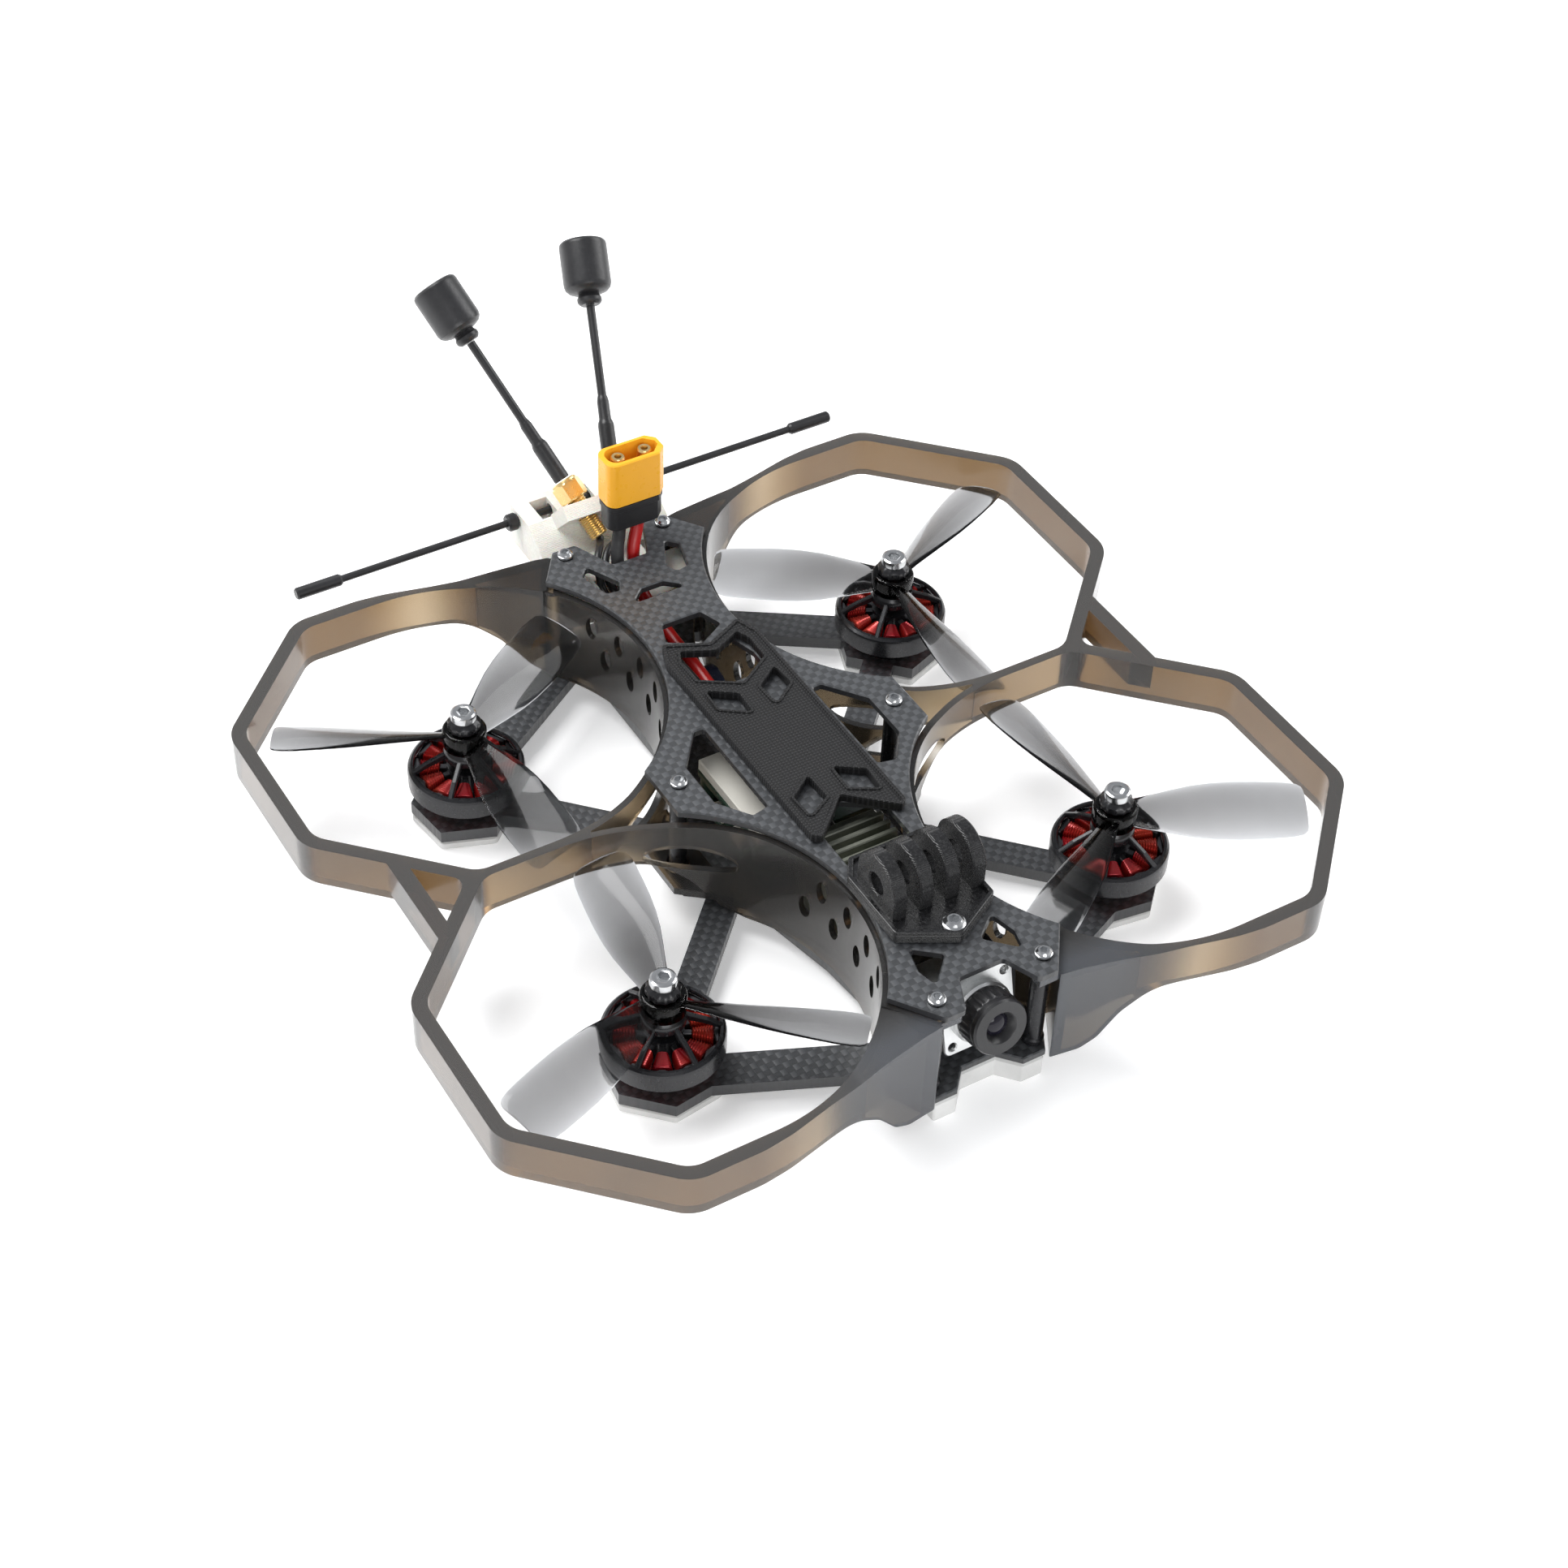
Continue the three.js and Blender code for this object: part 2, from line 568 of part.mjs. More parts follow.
function cameraLens() {
  const profile = [[0, 0], [6.9, 0], [6.9, 5.2], [6.5, 6.4], [3.4, 6.4], [2.6, 4.6], [0, 5.2]];
  return turned(profile, 20).rotateX(Math.PI / 2).translate(0, -10.3 - GAP, 0);
}

add('camera_bracket', cameraBracket(), blackPlastic);
tilted('camera_body', cameraBody(), aluminium);
tilted('camera_lens', cameraLens(), blackPlastic);

// ---------------------------------------------------------------- action camera mount

const PRONG = { y: -54, z: 42.5, radius: 7.5, thick: 3.4, pitch: 6.7, middle: 1, count: 4 };

function actionMount() {
  const low = ROOF_TOP + GAP;
  const top = ROOF_TOP + 2.7;
  const base = slab(bothHalves([[0, -72], [-12.7, -65], [-12.7, -46], [-9.4, -41]]), low, top);
  const side = new THREE.Shape();
  side.moveTo(PRONG.y - PRONG.radius, top - 0.5);
  side.lineTo(PRONG.y + PRONG.radius, top - 0.5);
  side.absarc(PRONG.y, PRONG.z, PRONG.radius, 0, Math.PI, false);
  const prongs = [];
  for (let i = 0; i < PRONG.count; i += 1) {
    const x = PRONG.middle + (i - (PRONG.count - 1) / 2) * PRONG.pitch;
    prongs.push(across(side, x - PRONG.thick / 2, x + PRONG.thick / 2, 8));
  }
  const pin = rod(2.6, -18, 18, 10).rotateY(Math.PI / 2).translate(0, PRONG.y, PRONG.z);
  const screwHole = rod(1.6, low - 1, top + 1, 8).translate(0, MOUNT_SCREW_Y, 0);
  return cut(join(base, ...prongs), pin, screwHole);
}

add('action_camera_mount', actionMount(), rubber);
const mountScrew = turned([[0, 33.6], [1.3, 33.6], [1.3, 37.9], [2.6, 37.9], [2.6, 38.7], [1.6, 39.6],
  [0, 39.6]], 10);
add('action_mount_screw', mountScrew.translate(0, MOUNT_SCREW_Y, 0), steel);

// ---------------------------------------------------------------- electronics

// A square board on four short posts that stand on whatever is below it.
function board(half, stand, low, high) {
  const corners = [[-1, -1], [1, -1], [-1, 1], [1, 1]];
  const posts = corners.map(([sx, sy]) => rod(2.4, stand, low + 0.5, 8).translate(sx * 12.75, sy * 12.75, 0));
  return join(block(-half, half, -half, half, low, high), ...posts);
}

const escTop = 14;
add('speed_controller', board(16, FLOOR_TOP + GAP, escTop - 1.6, escTop), circuitBoard);
add('flight_controller', board(15.5, escTop + GAP, 20, 21.6), circuitBoard);

function videoTransmitter() {
  const [front, back, low, high] = [-45, -22, FLOOR_TOP + GAP, 28.5];
  const fins = [];
  for (let y = front + 0.9; y < back - 2; y += 2.9) {
    fins.push(block(-9.4, 9.4, y, y + 1.3, high - 0.5, high + 2.2));
  }
  return join(block(-9.6, 9.6, front, back, low, high), ...fins);
}

add('video_transmitter', videoTransmitter(), heatSink);
const can = turned([[0, -8.6], [4.9, -8.6], [4.9, 8.6], [0, 8.6]], 14).rotateY(Math.PI / 2);
add('capacitor', can.translate(0, 46.2, FLOOR_TOP + GAP + 5), blackPlastic);

// ---------------------------------------------------------------- battery lead

const PLUG = { x: 4.3, y: 82, low: 48.6, high: 61.5, half: 7.9, depth: 4.05 };

// A power plug in plan: rounded at one end and chamfered at the other.
function plugOutline(grow) {
  const { x, y, half, depth } = PLUG;
  const [w, d] = [half + grow, depth + grow];
  const round = 2.6;
  const shape = new THREE.Shape();
  shape.moveTo(x - w + round, y - d);
  shape.lineTo(x + w - 2.2, y - d);
  shape.lineTo(x + w, y - d + 2.2);
  shape.lineTo(x + w, y + d - 2.2);
  shape.lineTo(x + w - 2.2, y + d);
  shape.lineTo(x - w + round, y + d);
  shape.absarc(x - w + round, y + d - round, round, Math.PI / 2, Math.PI, false);
  shape.absarc(x - w + round, y - d + round, round, Math.PI, 3 * Math.PI / 2, false);
  return shape;
}

const recess = slab(plugOutline(-1.1), PLUG.high - 9, PLUG.high + 1, 3);
add('plug_housing', cut(slab(plugOutline(0), PLUG.low, PLUG.high, 3), recess), yellowNylon);
const BOOT_LOW = PLUG.low - GAP - 7.4;
add('plug_boot', slab(plugOutline(-0.4), BOOT_LOW, PLUG.low - GAP, 3), blackPlastic);

// Each power lead runs from the boot down through the slot in the top plate to the boards.
const LEAD_RADIUS = 1.6;
const LEADS = {
  red: [[5.2, 80.8, BOOT_LOW - GAP], [5.2, 80.7, 40], [4.5, 80.1, 38], [3.2, 79, 35], [2.3, 77.2, 31],
    [1.95, 72, 25.4], [2.2, 60, 21.8], [2.6, 46.2, 20.5], [3, 34, 18], [3.2, 24, 16.2], [3.2, 13.5, 15.9]],
  black: [[0.6, 81.4, BOOT_LOW - GAP], [0.6, 81.3, 40], [0, 80.6, 38], [-1.2, 79.2, 35], [-1.9, 77.2, 31],
    [-1.95, 72, 25.4], [-2.2, 60, 21.8], [-2.6, 46.2, 20.5], [-3, 34, 18], [-3.2, 24, 16.2],
    [-3.2, 13.5, 15.9]],
};

function lead(points) {
  const path = new THREE.CatmullRomCurve3(points.map(([x, y, z]) => new THREE.Vector3(x, y, z)));
  const section = new THREE.Shape();
  for (let i = 0; i < 8; i += 1) {
    const angle = (i + 0.5) * Math.PI / 4;
    const [px, py] = [LEAD_RADIUS * Math.cos(angle), LEAD_RADIUS * Math.sin(angle)];
    i ? section.lineTo(px, py) : section.moveTo(px, py);
  }
  return new THREE.ExtrudeGeometry(section, { steps: 16, extrudePath: path });
}

add('power_lead_red', lead(LEADS.red), redSilicone);
add('power_lead_black', lead(LEADS.black), rubber);

// ---------------------------------------------------------------- antennas

const ANTENNA_LINE = new THREE.Vector3(0.244, 0.709, 0.662).normalize();
const MOUNT_MIDDLE = 2.1;
const MOUNT_HALF = 17.6;
const ANTENNA_BASE = new THREE.Vector3(6.8, 101, 43);
const RECEIVER_Y = 105;
const RECEIVER_Z = 31.6;
const RECEIVER_REACH = 75;

// Puts a shape drawn along +z on the left (sx = 1) or right antenna's line.
function placeAntenna(geometry, sx) {
  const base = ANTENNA_BASE.clone().multiply(new THREE.Vector3(sx, 1, 1));
  const line = ANTENNA_LINE.clone().multiply(new THREE.Vector3(sx, 1, 1));
  return aimed(geometry, base, line).translate(MOUNT_MIDDLE, 0, 0);
}

// The wall that holds both antenna connectors, square to their lines in side view.
function bulkhead() {
  const { y, z } = ANTENNA_LINE;
  const [front, back, low, high] = [-11, -7, -7, 4.8];
  const corners = [[front, low], [back, low], [back, high], [front, high]];
  return outline(corners.map(([along, up]) => {
    return [ANTENNA_BASE.y + along * y - up * z, ANTENNA_BASE.z + along * z + up * y];
  }));
}

function antennaMount() {
  const [left, right] = [MOUNT_MIDDLE - MOUNT_HALF, MOUNT_MIDDLE + MOUNT_HALF];
  const side = outline([[88.4, 23], [109, 23], [109, 34.2], [98.8, 34.2], [88.4, 27]]);
  const wall = across(bulkhead(), MOUNT_MIDDLE - 11, MOUNT_MIDDLE + 11);
  const tongue = block(-9, 9, 79, 89, 25, 28);
  const wells = [-8.8, 2.1, 13].map((x) => block(x - 2.4, x + 2.4, 99.4, 107, 28.6, 40));
  const channel = rod(1.7, -40, 40, 10).rotateY(Math.PI / 2).translate(0, RECEIVER_Y, RECEIVER_Z);
  const bores = SIDES.map(([, sx]) => placeAntenna(rod(2.7, -19, 5, 12), sx));
  return cut(join(across(side, left, right), wall, tongue), ...wells, channel, ...bores);
}

add('antenna_mount', antennaMount(), whiteTpu);
for (const [side, sx] of SIDES) {
  const connector = turned([[0, -16.5], [2.4, -16.5], [2.4, -5.7], [3.9, -5.7], [3.9, -1], [3.4, -GAP],
    [0, -GAP]], 12);
  add(`antenna_connector_${side}`, placeAntenna(connector, sx), gold);
  const stem = turned([[0, 0], [2.05, 0], [2.05, 10.5], [1.5, 11.5], [1.5, 16.5], [1.1, 17.2], [1.1, 40],
    [0, 40]], 10);
  add(`antenna_stem_${side}`, placeAntenna(stem, sx), blackPlastic);
  const cap = turned([[0, 40.2], [2.8, 40.2], [3.1, 41], [3, 42.6], [4.4, 43], [6, 44.6], [6, 55.4],
    [5.2, 56.4], [0, 56.7]], 16);
  add(`antenna_cap_${side}`, placeAntenna(cap, sx), blackPlastic);
}

// A dipole lying across the mount, with a collar at each side and a sleeve at each tip.
function receiverAntenna() {
  const arm = (end, collar) => {
    const tip = Math.sign(end) * 12;
    const far = collar + Math.sign(end) * 2.7;
    return [[1.4, collar], [2.2, collar], [2.2, far], [0.9, far], [0.9, end - tip], [1.5, end - tip],
      [1.5, end], [0, end]];
  };
  const right = arm(-RECEIVER_REACH, MOUNT_MIDDLE - MOUNT_HALF - GAP).reverse();
  const left = arm(RECEIVER_REACH, MOUNT_MIDDLE + MOUNT_HALF + GAP);
  return turned([...right, ...left], 10).rotateY(Math.PI / 2).translate(0, RECEIVER_Y, RECEIVER_Z);
}

add('receiver_antenna', receiverAntenna(), blackPlastic);

// The drawing's y = 0 is midway between the motors. The part's own origin is under the middle of
// the whole machine, from the nose guard to the antenna tips.
drone.position.y = -WHOLE_MIDDLE_Y;

export default drone;
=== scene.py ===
# Looks of the ducted racing drone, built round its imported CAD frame.
# Shapes are drawn in millimetres, in the CAD drawing's frame: y = 0 is midway between the motors,
# which is MIDDLE_Y in front of the row frame's origin. Objects are in metres.
import math
import random

import bmesh
import bpy
from mathutils import Matrix, Vector
from mathutils.geometry import tessellate_polygon


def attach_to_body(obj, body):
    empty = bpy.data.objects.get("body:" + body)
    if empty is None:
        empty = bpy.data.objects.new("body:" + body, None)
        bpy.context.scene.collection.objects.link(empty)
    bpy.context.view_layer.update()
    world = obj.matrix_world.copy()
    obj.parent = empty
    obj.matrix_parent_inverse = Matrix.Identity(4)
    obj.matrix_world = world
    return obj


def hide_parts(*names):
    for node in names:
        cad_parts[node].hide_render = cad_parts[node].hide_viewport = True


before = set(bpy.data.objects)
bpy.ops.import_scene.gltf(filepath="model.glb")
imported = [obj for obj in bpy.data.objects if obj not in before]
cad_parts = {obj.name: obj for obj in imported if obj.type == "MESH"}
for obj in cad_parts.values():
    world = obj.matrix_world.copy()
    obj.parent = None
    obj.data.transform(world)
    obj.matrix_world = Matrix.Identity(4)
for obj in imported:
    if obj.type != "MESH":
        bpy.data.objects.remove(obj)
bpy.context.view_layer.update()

MM = 0.001
PI = math.pi
MIDDLE_Y = 24

# The CAD drawing's driving dimensions.
MOTOR_X = 58.8
MOTOR_Y = 47.3
PROP_RADIUS = 44.45
DUCT_RADIUS = PROP_RADIUS + 1.7
RIM_WIDTH = 3.4
WALL = 1.6
# Left between neighbouring parts.
GAP = 0.25
# The thickness of the guards' screw tabs.
TAB = 2
FOOT_TOP = 2.5
ARM_TOP = 5.95
FLOOR_BOTTOM = 6.2
FLOOR_TOP = 8.2
# Where parts stand on the floor plate.
DECK = FLOOR_TOP + GAP
ROOF_BOTTOM = 33
ROOF_TOP = 35
RIM_TOP = 30.65
RIM_BOTTOM = 19.8
WALL_TOP = ROOF_BOTTOM - GAP
# The plates and the guards' inner sides follow circles round the motors.
PLATE_ARC = DUCT_RADIUS + 1.15
WAIST_ARC = DUCT_RADIUS + WALL
WING = 33
NOSE_Y = 88
TAIL_Y = 86
NOSE_HALF = 14
SHOULDER_Y = 77
MOUNT_SCREW_Y = -68.5
SIDES = {"left": 1, "right": -1}
CORNERS = {
    "front_left": (1, -1),
    "front_right": (-1, -1),
    "rear_left": (1, 1),
    "rear_right": (-1, 1),
}
SCREW_PLACES = {
    f"{end}_{side}": (sx * x, y)
    for side, sx in SIDES.items()
    for end, x, y in (("nose", 13.5, -83), ("wing", 28.5, 0), ("tail", 13.5, 83))
}


def added(name, data):
    obj = bpy.data.objects.new(name, data)
    bpy.context.scene.collection.objects.link(obj)
    return obj


def turn_about(degrees, axis="Z"):
    return Matrix.Rotation(math.radians(degrees), 4, axis)


# ---- camera, floor and light


def add_camera():
    data = bpy.data.cameras.new("camera")
    data.lens = 66.87
    data.sensor_width = 36
    data.clip_start = 0.01
    data.clip_end = 20
    camera = added("camera", data)
    right = Vector((0.8584, -0.5120, 0.0315)).normalized()
    back = Vector((-0.3889, -0.6095, 0.6909)).normalized()
    up = back.cross(right).normalized()
    right = up.cross(back)
    turn = Matrix((right, up, back)).transposed().to_4x4()
    camera.matrix_world = Matrix.Translation((-0.2617, -0.4332, 0.4859)) @ turn
    bpy.context.scene.camera = camera


def add_light(name, place, target, size, power):
    data = bpy.data.lights.new(name, "AREA")
    data.shape = "RECTANGLE"
    data.size, data.size_y = size
    data.energy = power
    light = added(name, data)
    light.location = place
    aim = Vector(target) - Vector(place)
    light.rotation_euler = aim.to_track_quat("-Z", "Y").to_euler()


def add_world():
    world = bpy.data.worlds.new("studio")
    bpy.context.scene.world = world
    world.use_nodes = True
    tree = world.node_tree
    background = tree.nodes["Background"]
    place = tree.nodes.new("ShaderNodeTexCoord")
    split = tree.nodes.new("ShaderNodeSeparateXYZ")
    ramp = tree.nodes.new("ShaderNodeValToRGB")
    tree.links.new(place.outputs["Generated"], split.inputs[0])
    tree.links.new(split.outputs["Z"], ramp.inputs[0])
    tree.links.new(ramp.outputs[0], background.inputs["Color"])
    level, above = ramp.color_ramp.elements
    level.color = (1, 1, 1, 1)
    above.position = 0.6
    above.color = (0.42, 0.43, 0.45, 1)
    background.inputs["Strength"].default_value = 0.9


def add_studio():
    view = bpy.context.scene.view_settings
    view.view_transform = "Standard"
    view.look = "None"
    add_world()
    add_light("key_light", (-0.35, 0.45, 1.0), (0, 0, 0), (0.9, 0.7), 15)
    add_light("side_light", (0.95, -0.1, 0.6), (0, 0, 0.02), (0.5, 0.8), 5)
    add_light("front_light", (-0.3, -1.0, 0.5), (0, 0, 0.02), (0.7, 0.4), 4)


# ---- materials


class Look:
    """A node material round one Principled shader."""

    def __init__(self, name, colour, roughness, metallic=0.0, **sockets):
        self.name = name
        self.material = bpy.data.materials.new(name)
        self.material.use_nodes = True
        self.tree = self.material.node_tree
        self.shader = self.tree.nodes["Principled BSDF"]
        self.set("Base Color", (*colour, 1))
        self.set("Roughness", roughness)
        self.set("Metallic", metallic)
        for key, value in sockets.items():
            self.set(key.replace("_", " "), value)
        self.place = self.node("TexCoord").outputs["Object"]

    def set(self, key, value):
        self.feed(self.shader.inputs[key], value)

    def feed(self, socket, value):
        if isinstance(value, bpy.types.NodeSocket):
            self.tree.links.new(value, socket)
        else:
            socket.default_value = value

    def node(self, kind, inputs=None, **settings):
        node = self.tree.nodes.new("ShaderNode" + kind)
        for key, value in settings.items():
            setattr(node, key, value)
        for key, value in (inputs or {}).items():
            self.feed(node.inputs[key], value)
        return node

    def math(self, operation, *values):
        return self.node("Math", dict(enumerate(values)), operation=operation).outputs[0]

    def axes(self):
        return self.node("SeparateXYZ", {0: self.place}).outputs

    def noise(self, scale, detail=3.0, stretch=(1, 1, 1)):
        mapped = self.node("Mapping", {"Vector": self.place, "Scale": stretch}).outputs[0]
        inputs = {"Vector": mapped, "Scale": scale, "Detail": detail}
        return self.node("TexNoise", inputs).outputs[0]

    def mix(self, factor, low, high):
        inputs = {0: factor, 6: (*low, 1), 7: (*high, 1)}
        return self.node("Mix", inputs, data_type="RGBA").outputs[2]

    def spread(self, value, low, high, to_low, to_high):
        inputs = {0: value, 1: low, 2: high, 3: to_low, 4: to_high}
        return self.node("MapRange", inputs).outputs[0]

    def bump(self, height, depth):
        node = self.node("Bump", {"Height": height, "Distance": depth, "Strength": 1.0})
        self.set("Normal", node.outputs[0])

    def absorb(self, colour, density):
        """Light is absorbed inside, so that thick places are darker."""
        volume = self.node("VolumeAbsorption", {"Color": (*colour, 1), "Density": density})
        output = self.tree.nodes["Material Output"]
        self.tree.links.new(volume.outputs[0], output.inputs["Volume"])


def grained(name, colour, other, roughness, metallic=0.0, grain=900, depth=0.02, **sockets):
    """A finish whose colour, roughness and surface vary finely."""
    look = Look(name, colour, roughness, metallic, **sockets)
    fine = look.noise(grain)
    broad = look.noise(grain * 0.06)
    look.set("Base Color", look.mix(look.spread(broad, 0.35, 0.65, 0, 1), colour, other))
    look.set("Roughness", look.spread(fine, 0.3, 0.7, roughness * 0.85, min(roughness * 1.15, 1)))
    look.bump(fine, depth * MM)
    return look


def carbon_look(name, light):
    """Plain weave of 1.6 mm tows on the faces, laminations on the cut edges. The lighter tows and their
    brighter crowns are a painted sheen.
    """
    tow = 1.6 * MM
    dark = tuple(value * 0.4 for value in light)
    look = Look(name, dark, 0.4, Coat_Weight=0.35, Coat_Roughness=0.25)
    x, y, z = look.axes()
    u = look.math("DIVIDE", x, tow)
    v = look.math("DIVIDE", y, tow)
    cells = look.math("ADD", look.math("FLOOR", u), look.math("FLOOR", v))
    warp = look.math("FLOORED_MODULO", cells, 2.0)
    crown_u = look.math("SINE", look.math("MULTIPLY", look.math("FRACT", u), PI))
    crown_v = look.math("SINE", look.math("MULTIPLY", look.math("FRACT", v), PI))
    over = look.math("MULTIPLY", warp, crown_u)
    under = look.math("MULTIPLY", look.math("SUBTRACT", 1.0, warp), crown_v)
    height = look.math("ADD", over, under)
    # Painted sheen: one set of tows is lighter, and each tow's crown is lighter still.
    painted_weave_sheen = look.math("MULTIPLY", look.spread(warp, 0, 1, 0.25, 1), look.spread(height, 0, 1, 0.45, 1))
    face = look.mix(painted_weave_sheen, dark, light)
    layers = look.math("SINE", look.math("MULTIPLY", z, 2 * PI / (0.3 * MM)))
    edge = look.mix(look.spread(layers, -1, 1, 0, 1), (0.012, 0.012, 0.013), (0.04, 0.042, 0.046))
    normal = look.node("SeparateXYZ", {0: look.node("NewGeometry").outputs["Normal"]}).outputs[2]
    flat = look.math("GREATER_THAN", look.math("ABSOLUTE", normal), 0.6)
    inputs = {0: flat, 6: edge, 7: face}
    look.set("Base Color", look.node("Mix", inputs, data_type="RGBA").outputs[2])
    look.set("Roughness", look.spread(height, 0, 1, 0.5, 0.32))
    look.bump(look.math("MULTIPLY", height, flat), 0.06 * MM)
    return look


def dotted_look(name, colour, pitch):
    """Rubber with a fine grid of round dots on its upper face, the dots coloured lighter as a painted
    highlight.
    """
    look = Look(name, colour, 0.5, Specular_IOR_Level=0.35)
    x, y, _ = look.axes()
    dots = []
    for axis in (x, y):
        part = look.math("SUBTRACT", look.math("FRACT", look.math("DIVIDE", axis, pitch)), 0.5)
        dots.append(look.math("POWER", look.math("ABSOLUTE", part), 2.0))
    far = look.math("SQRT", look.math("ADD", *dots))
    height = look.spread(far, 0.2, 0.42, 1, 0)
    # Painted highlight: the raised dots are coloured lighter than the rubber.
    dot_highlight_colour = tuple(value * 3.2 for value in colour)
    look.set("Base Color", look.mix(height, colour, dot_highlight_colour))
    look.bump(height, 0.12 * MM)
    return look


def printed_look(name, colour, other, layer, roughness, depth=0.05, **sockets):
    """A printed part: its layers show as fine lines up its sides."""
    look = Look(name, colour, roughness, **sockets)
    _, _, z = look.axes()
    lines = look.math("SINE", look.math("MULTIPLY", z, 2 * PI / layer))
    speckle = look.noise(1500, 4)
    height = look.math("ADD", look.math("MULTIPLY", lines, 0.5), look.math("MULTIPLY", speckle, 1.6))
    look.set("Base Color", look.mix(look.spread(speckle, 0.35, 0.65, 0, 1), colour, other))
    look.set("Roughness", look.spread(speckle, 0.35, 0.65, roughness * 0.6, roughness))
    look.bump(height, depth * MM)
    return look


def smoked_look(name, roughness, bend, colour, density, coat, inner, outer, nose, clear):
    """Clear tinted plastic: darker the deeper the light goes through it. Greyer and slightly milky near the
    body and on the panels beside the nose, which is a painted soft satin reflection."""
    look = Look(name, outer, roughness, Transmission_Weight=1.0, IOR=bend,
                Coat_Weight=coat, Coat_Roughness=0.12)
    look.absorb(colour, density)
    x, y, _ = look.axes()
    out = look.spread(look.math("ABSOLUTE", x), 30 * MM, 48 * MM, 0, 1)
    behind = look.math("MAXIMUM", out, look.spread(y, -86 * MM, -78 * MM, 0, 1))
    # The grey tints near the body and on the nose panels are a painted reflection.
    tint_and_painted_sheen = {0: behind, 6: (*nose, 1), 7: look.mix(out, inner, outer)}
    look.set("Base Color", look.node("Mix", tint_and_painted_sheen, data_type="RGBA").outputs[2])
    # Less clear there, so that a grey diffuse part paints the satin sheen.
    look.set("Transmission Weight", look.spread(behind, 0, 1, *clear))
    look.bump(look.noise(120, 1), 0.01 * MM)
    return look


def board_look():
    """Dark solder mask over faint tracks."""
    look = Look("circuit_board", (0.008, 0.02, 0.014), 0.35, Coat_Weight=0.4, Coat_Roughness=0.2)
    cells = look.node("TexVoronoi", {"Vector": look.place, "Scale": 700.0}, distance="MANHATTAN")
    tracks = look.spread(cells.outputs[0], 0.3, 0.36, 0, 1)
    look.set("Base Color", look.mix(tracks, (0.006, 0.016, 0.011), (0.02, 0.05, 0.034)))
    look.bump(tracks, 0.03 * MM)
    return look


FINISHES = (
    carbon_look("carbon_fibre", (0.07, 0.074, 0.08)),
    # The grey tints and the milky 0.82 near the body and on the nose panels paint a soft satin reflection.
    smoked_look("smoked_plastic", 0.2, 1.35, (0.44, 0.28, 0.0), 860, 0.25,
                (0.34, 0.33, 0.32), (1, 0.97, 0.93), (0.32, 0.34, 0.38), (0.82, 0.94)),
    smoked_look("smoked_prop", 0.08, 1.28, (0.03, 0.015, 0.0), 900, 0.0,
                (0.62, 0.63, 0.65), (0.62, 0.63, 0.65), (0.62, 0.63, 0.65), (1, 1)),
    dotted_look("black_rubber", (0.006, 0.006, 0.0065), 0.85 * MM),
    grained("plain_rubber", (0.014, 0.014, 0.015), (0.022, 0.022, 0.024), 0.6),
    printed_look("black_print", (0.004, 0.004, 0.0045), (0.012, 0.012, 0.013), 0.3 * MM, 0.3, 0.07,
                 Coat_Weight=0.3, Coat_Roughness=0.2),
    grained("white_foam", (0.72, 0.72, 0.71), (0.62, 0.62, 0.61), 0.9, grain=1400, depth=0.12),
    grained("black_metal", (0.012, 0.012, 0.014), (0.02, 0.021, 0.024), 0.3, 0.5,
            depth=0.006, Coat_Weight=0.3, Coat_Roughness=0.15),
    grained("steel", (0.62, 0.63, 0.64), (0.5, 0.51, 0.52), 0.2, 1.0, depth=0.006),
    grained("dark_steel", (0.1, 0.1, 0.105), (0.06, 0.06, 0.065), 0.35, 0.9),
    grained("camera_metal", (0.7, 0.71, 0.71), (0.6, 0.61, 0.61), 0.32, 0.9, grain=2500),
    grained("black_plastic", (0.012, 0.012, 0.013), (0.02, 0.02, 0.022), 0.36, grain=1200),
    grained("heat_sink", (0.3, 0.31, 0.26), (0.2, 0.21, 0.17), 0.38, 0.75, grain=1800),
    grained("yellow_nylon", (0.95, 0.46, 0.03), (0.9, 0.42, 0.02), 0.3, grain=500, depth=0.008),
    grained("red_silicone", (0.5, 0.008, 0.008), (0.42, 0.006, 0.006), 0.33, grain=500),
    printed_look("white_tpu", (0.86, 0.85, 0.79), (0.8, 0.79, 0.73), 0.24 * MM, 0.5,
                 Subsurface_Weight=0.25, Subsurface_Scale=0.002),
    grained("gold", (0.9, 0.69, 0.34), (0.8, 0.58, 0.26), 0.3, 1.0, depth=0.008),
    # The lighter coppery patches on the red wire are painted glints.
    grained("red_enamel", (0.34, 0.004, 0.012), (0.5, 0.06, 0.03), 0.22, 0.55, grain=1200,
            Coat_Weight=0.5, Coat_Roughness=0.1),
    board_look(),
    grained("chip_plastic", (0.014, 0.014, 0.015), (0.03, 0.03, 0.032), 0.45),
    grained("ceramic", (0.42, 0.32, 0.2), (0.5, 0.42, 0.3), 0.4),
    grained("white_socket", (0.75, 0.73, 0.66), (0.68, 0.66, 0.6), 0.45),
    grained("capacitor_sleeve", (0.01, 0.014, 0.03), (0.016, 0.02, 0.04), 0.25),
    grained("lens_glass", (0.004, 0.004, 0.006), (0.008, 0.007, 0.014), 0.06, grain=300,
            depth=0.002, Specular_IOR_Level=0.3),
)
LOOKS = {look.name: look.material for look in FINISHES}


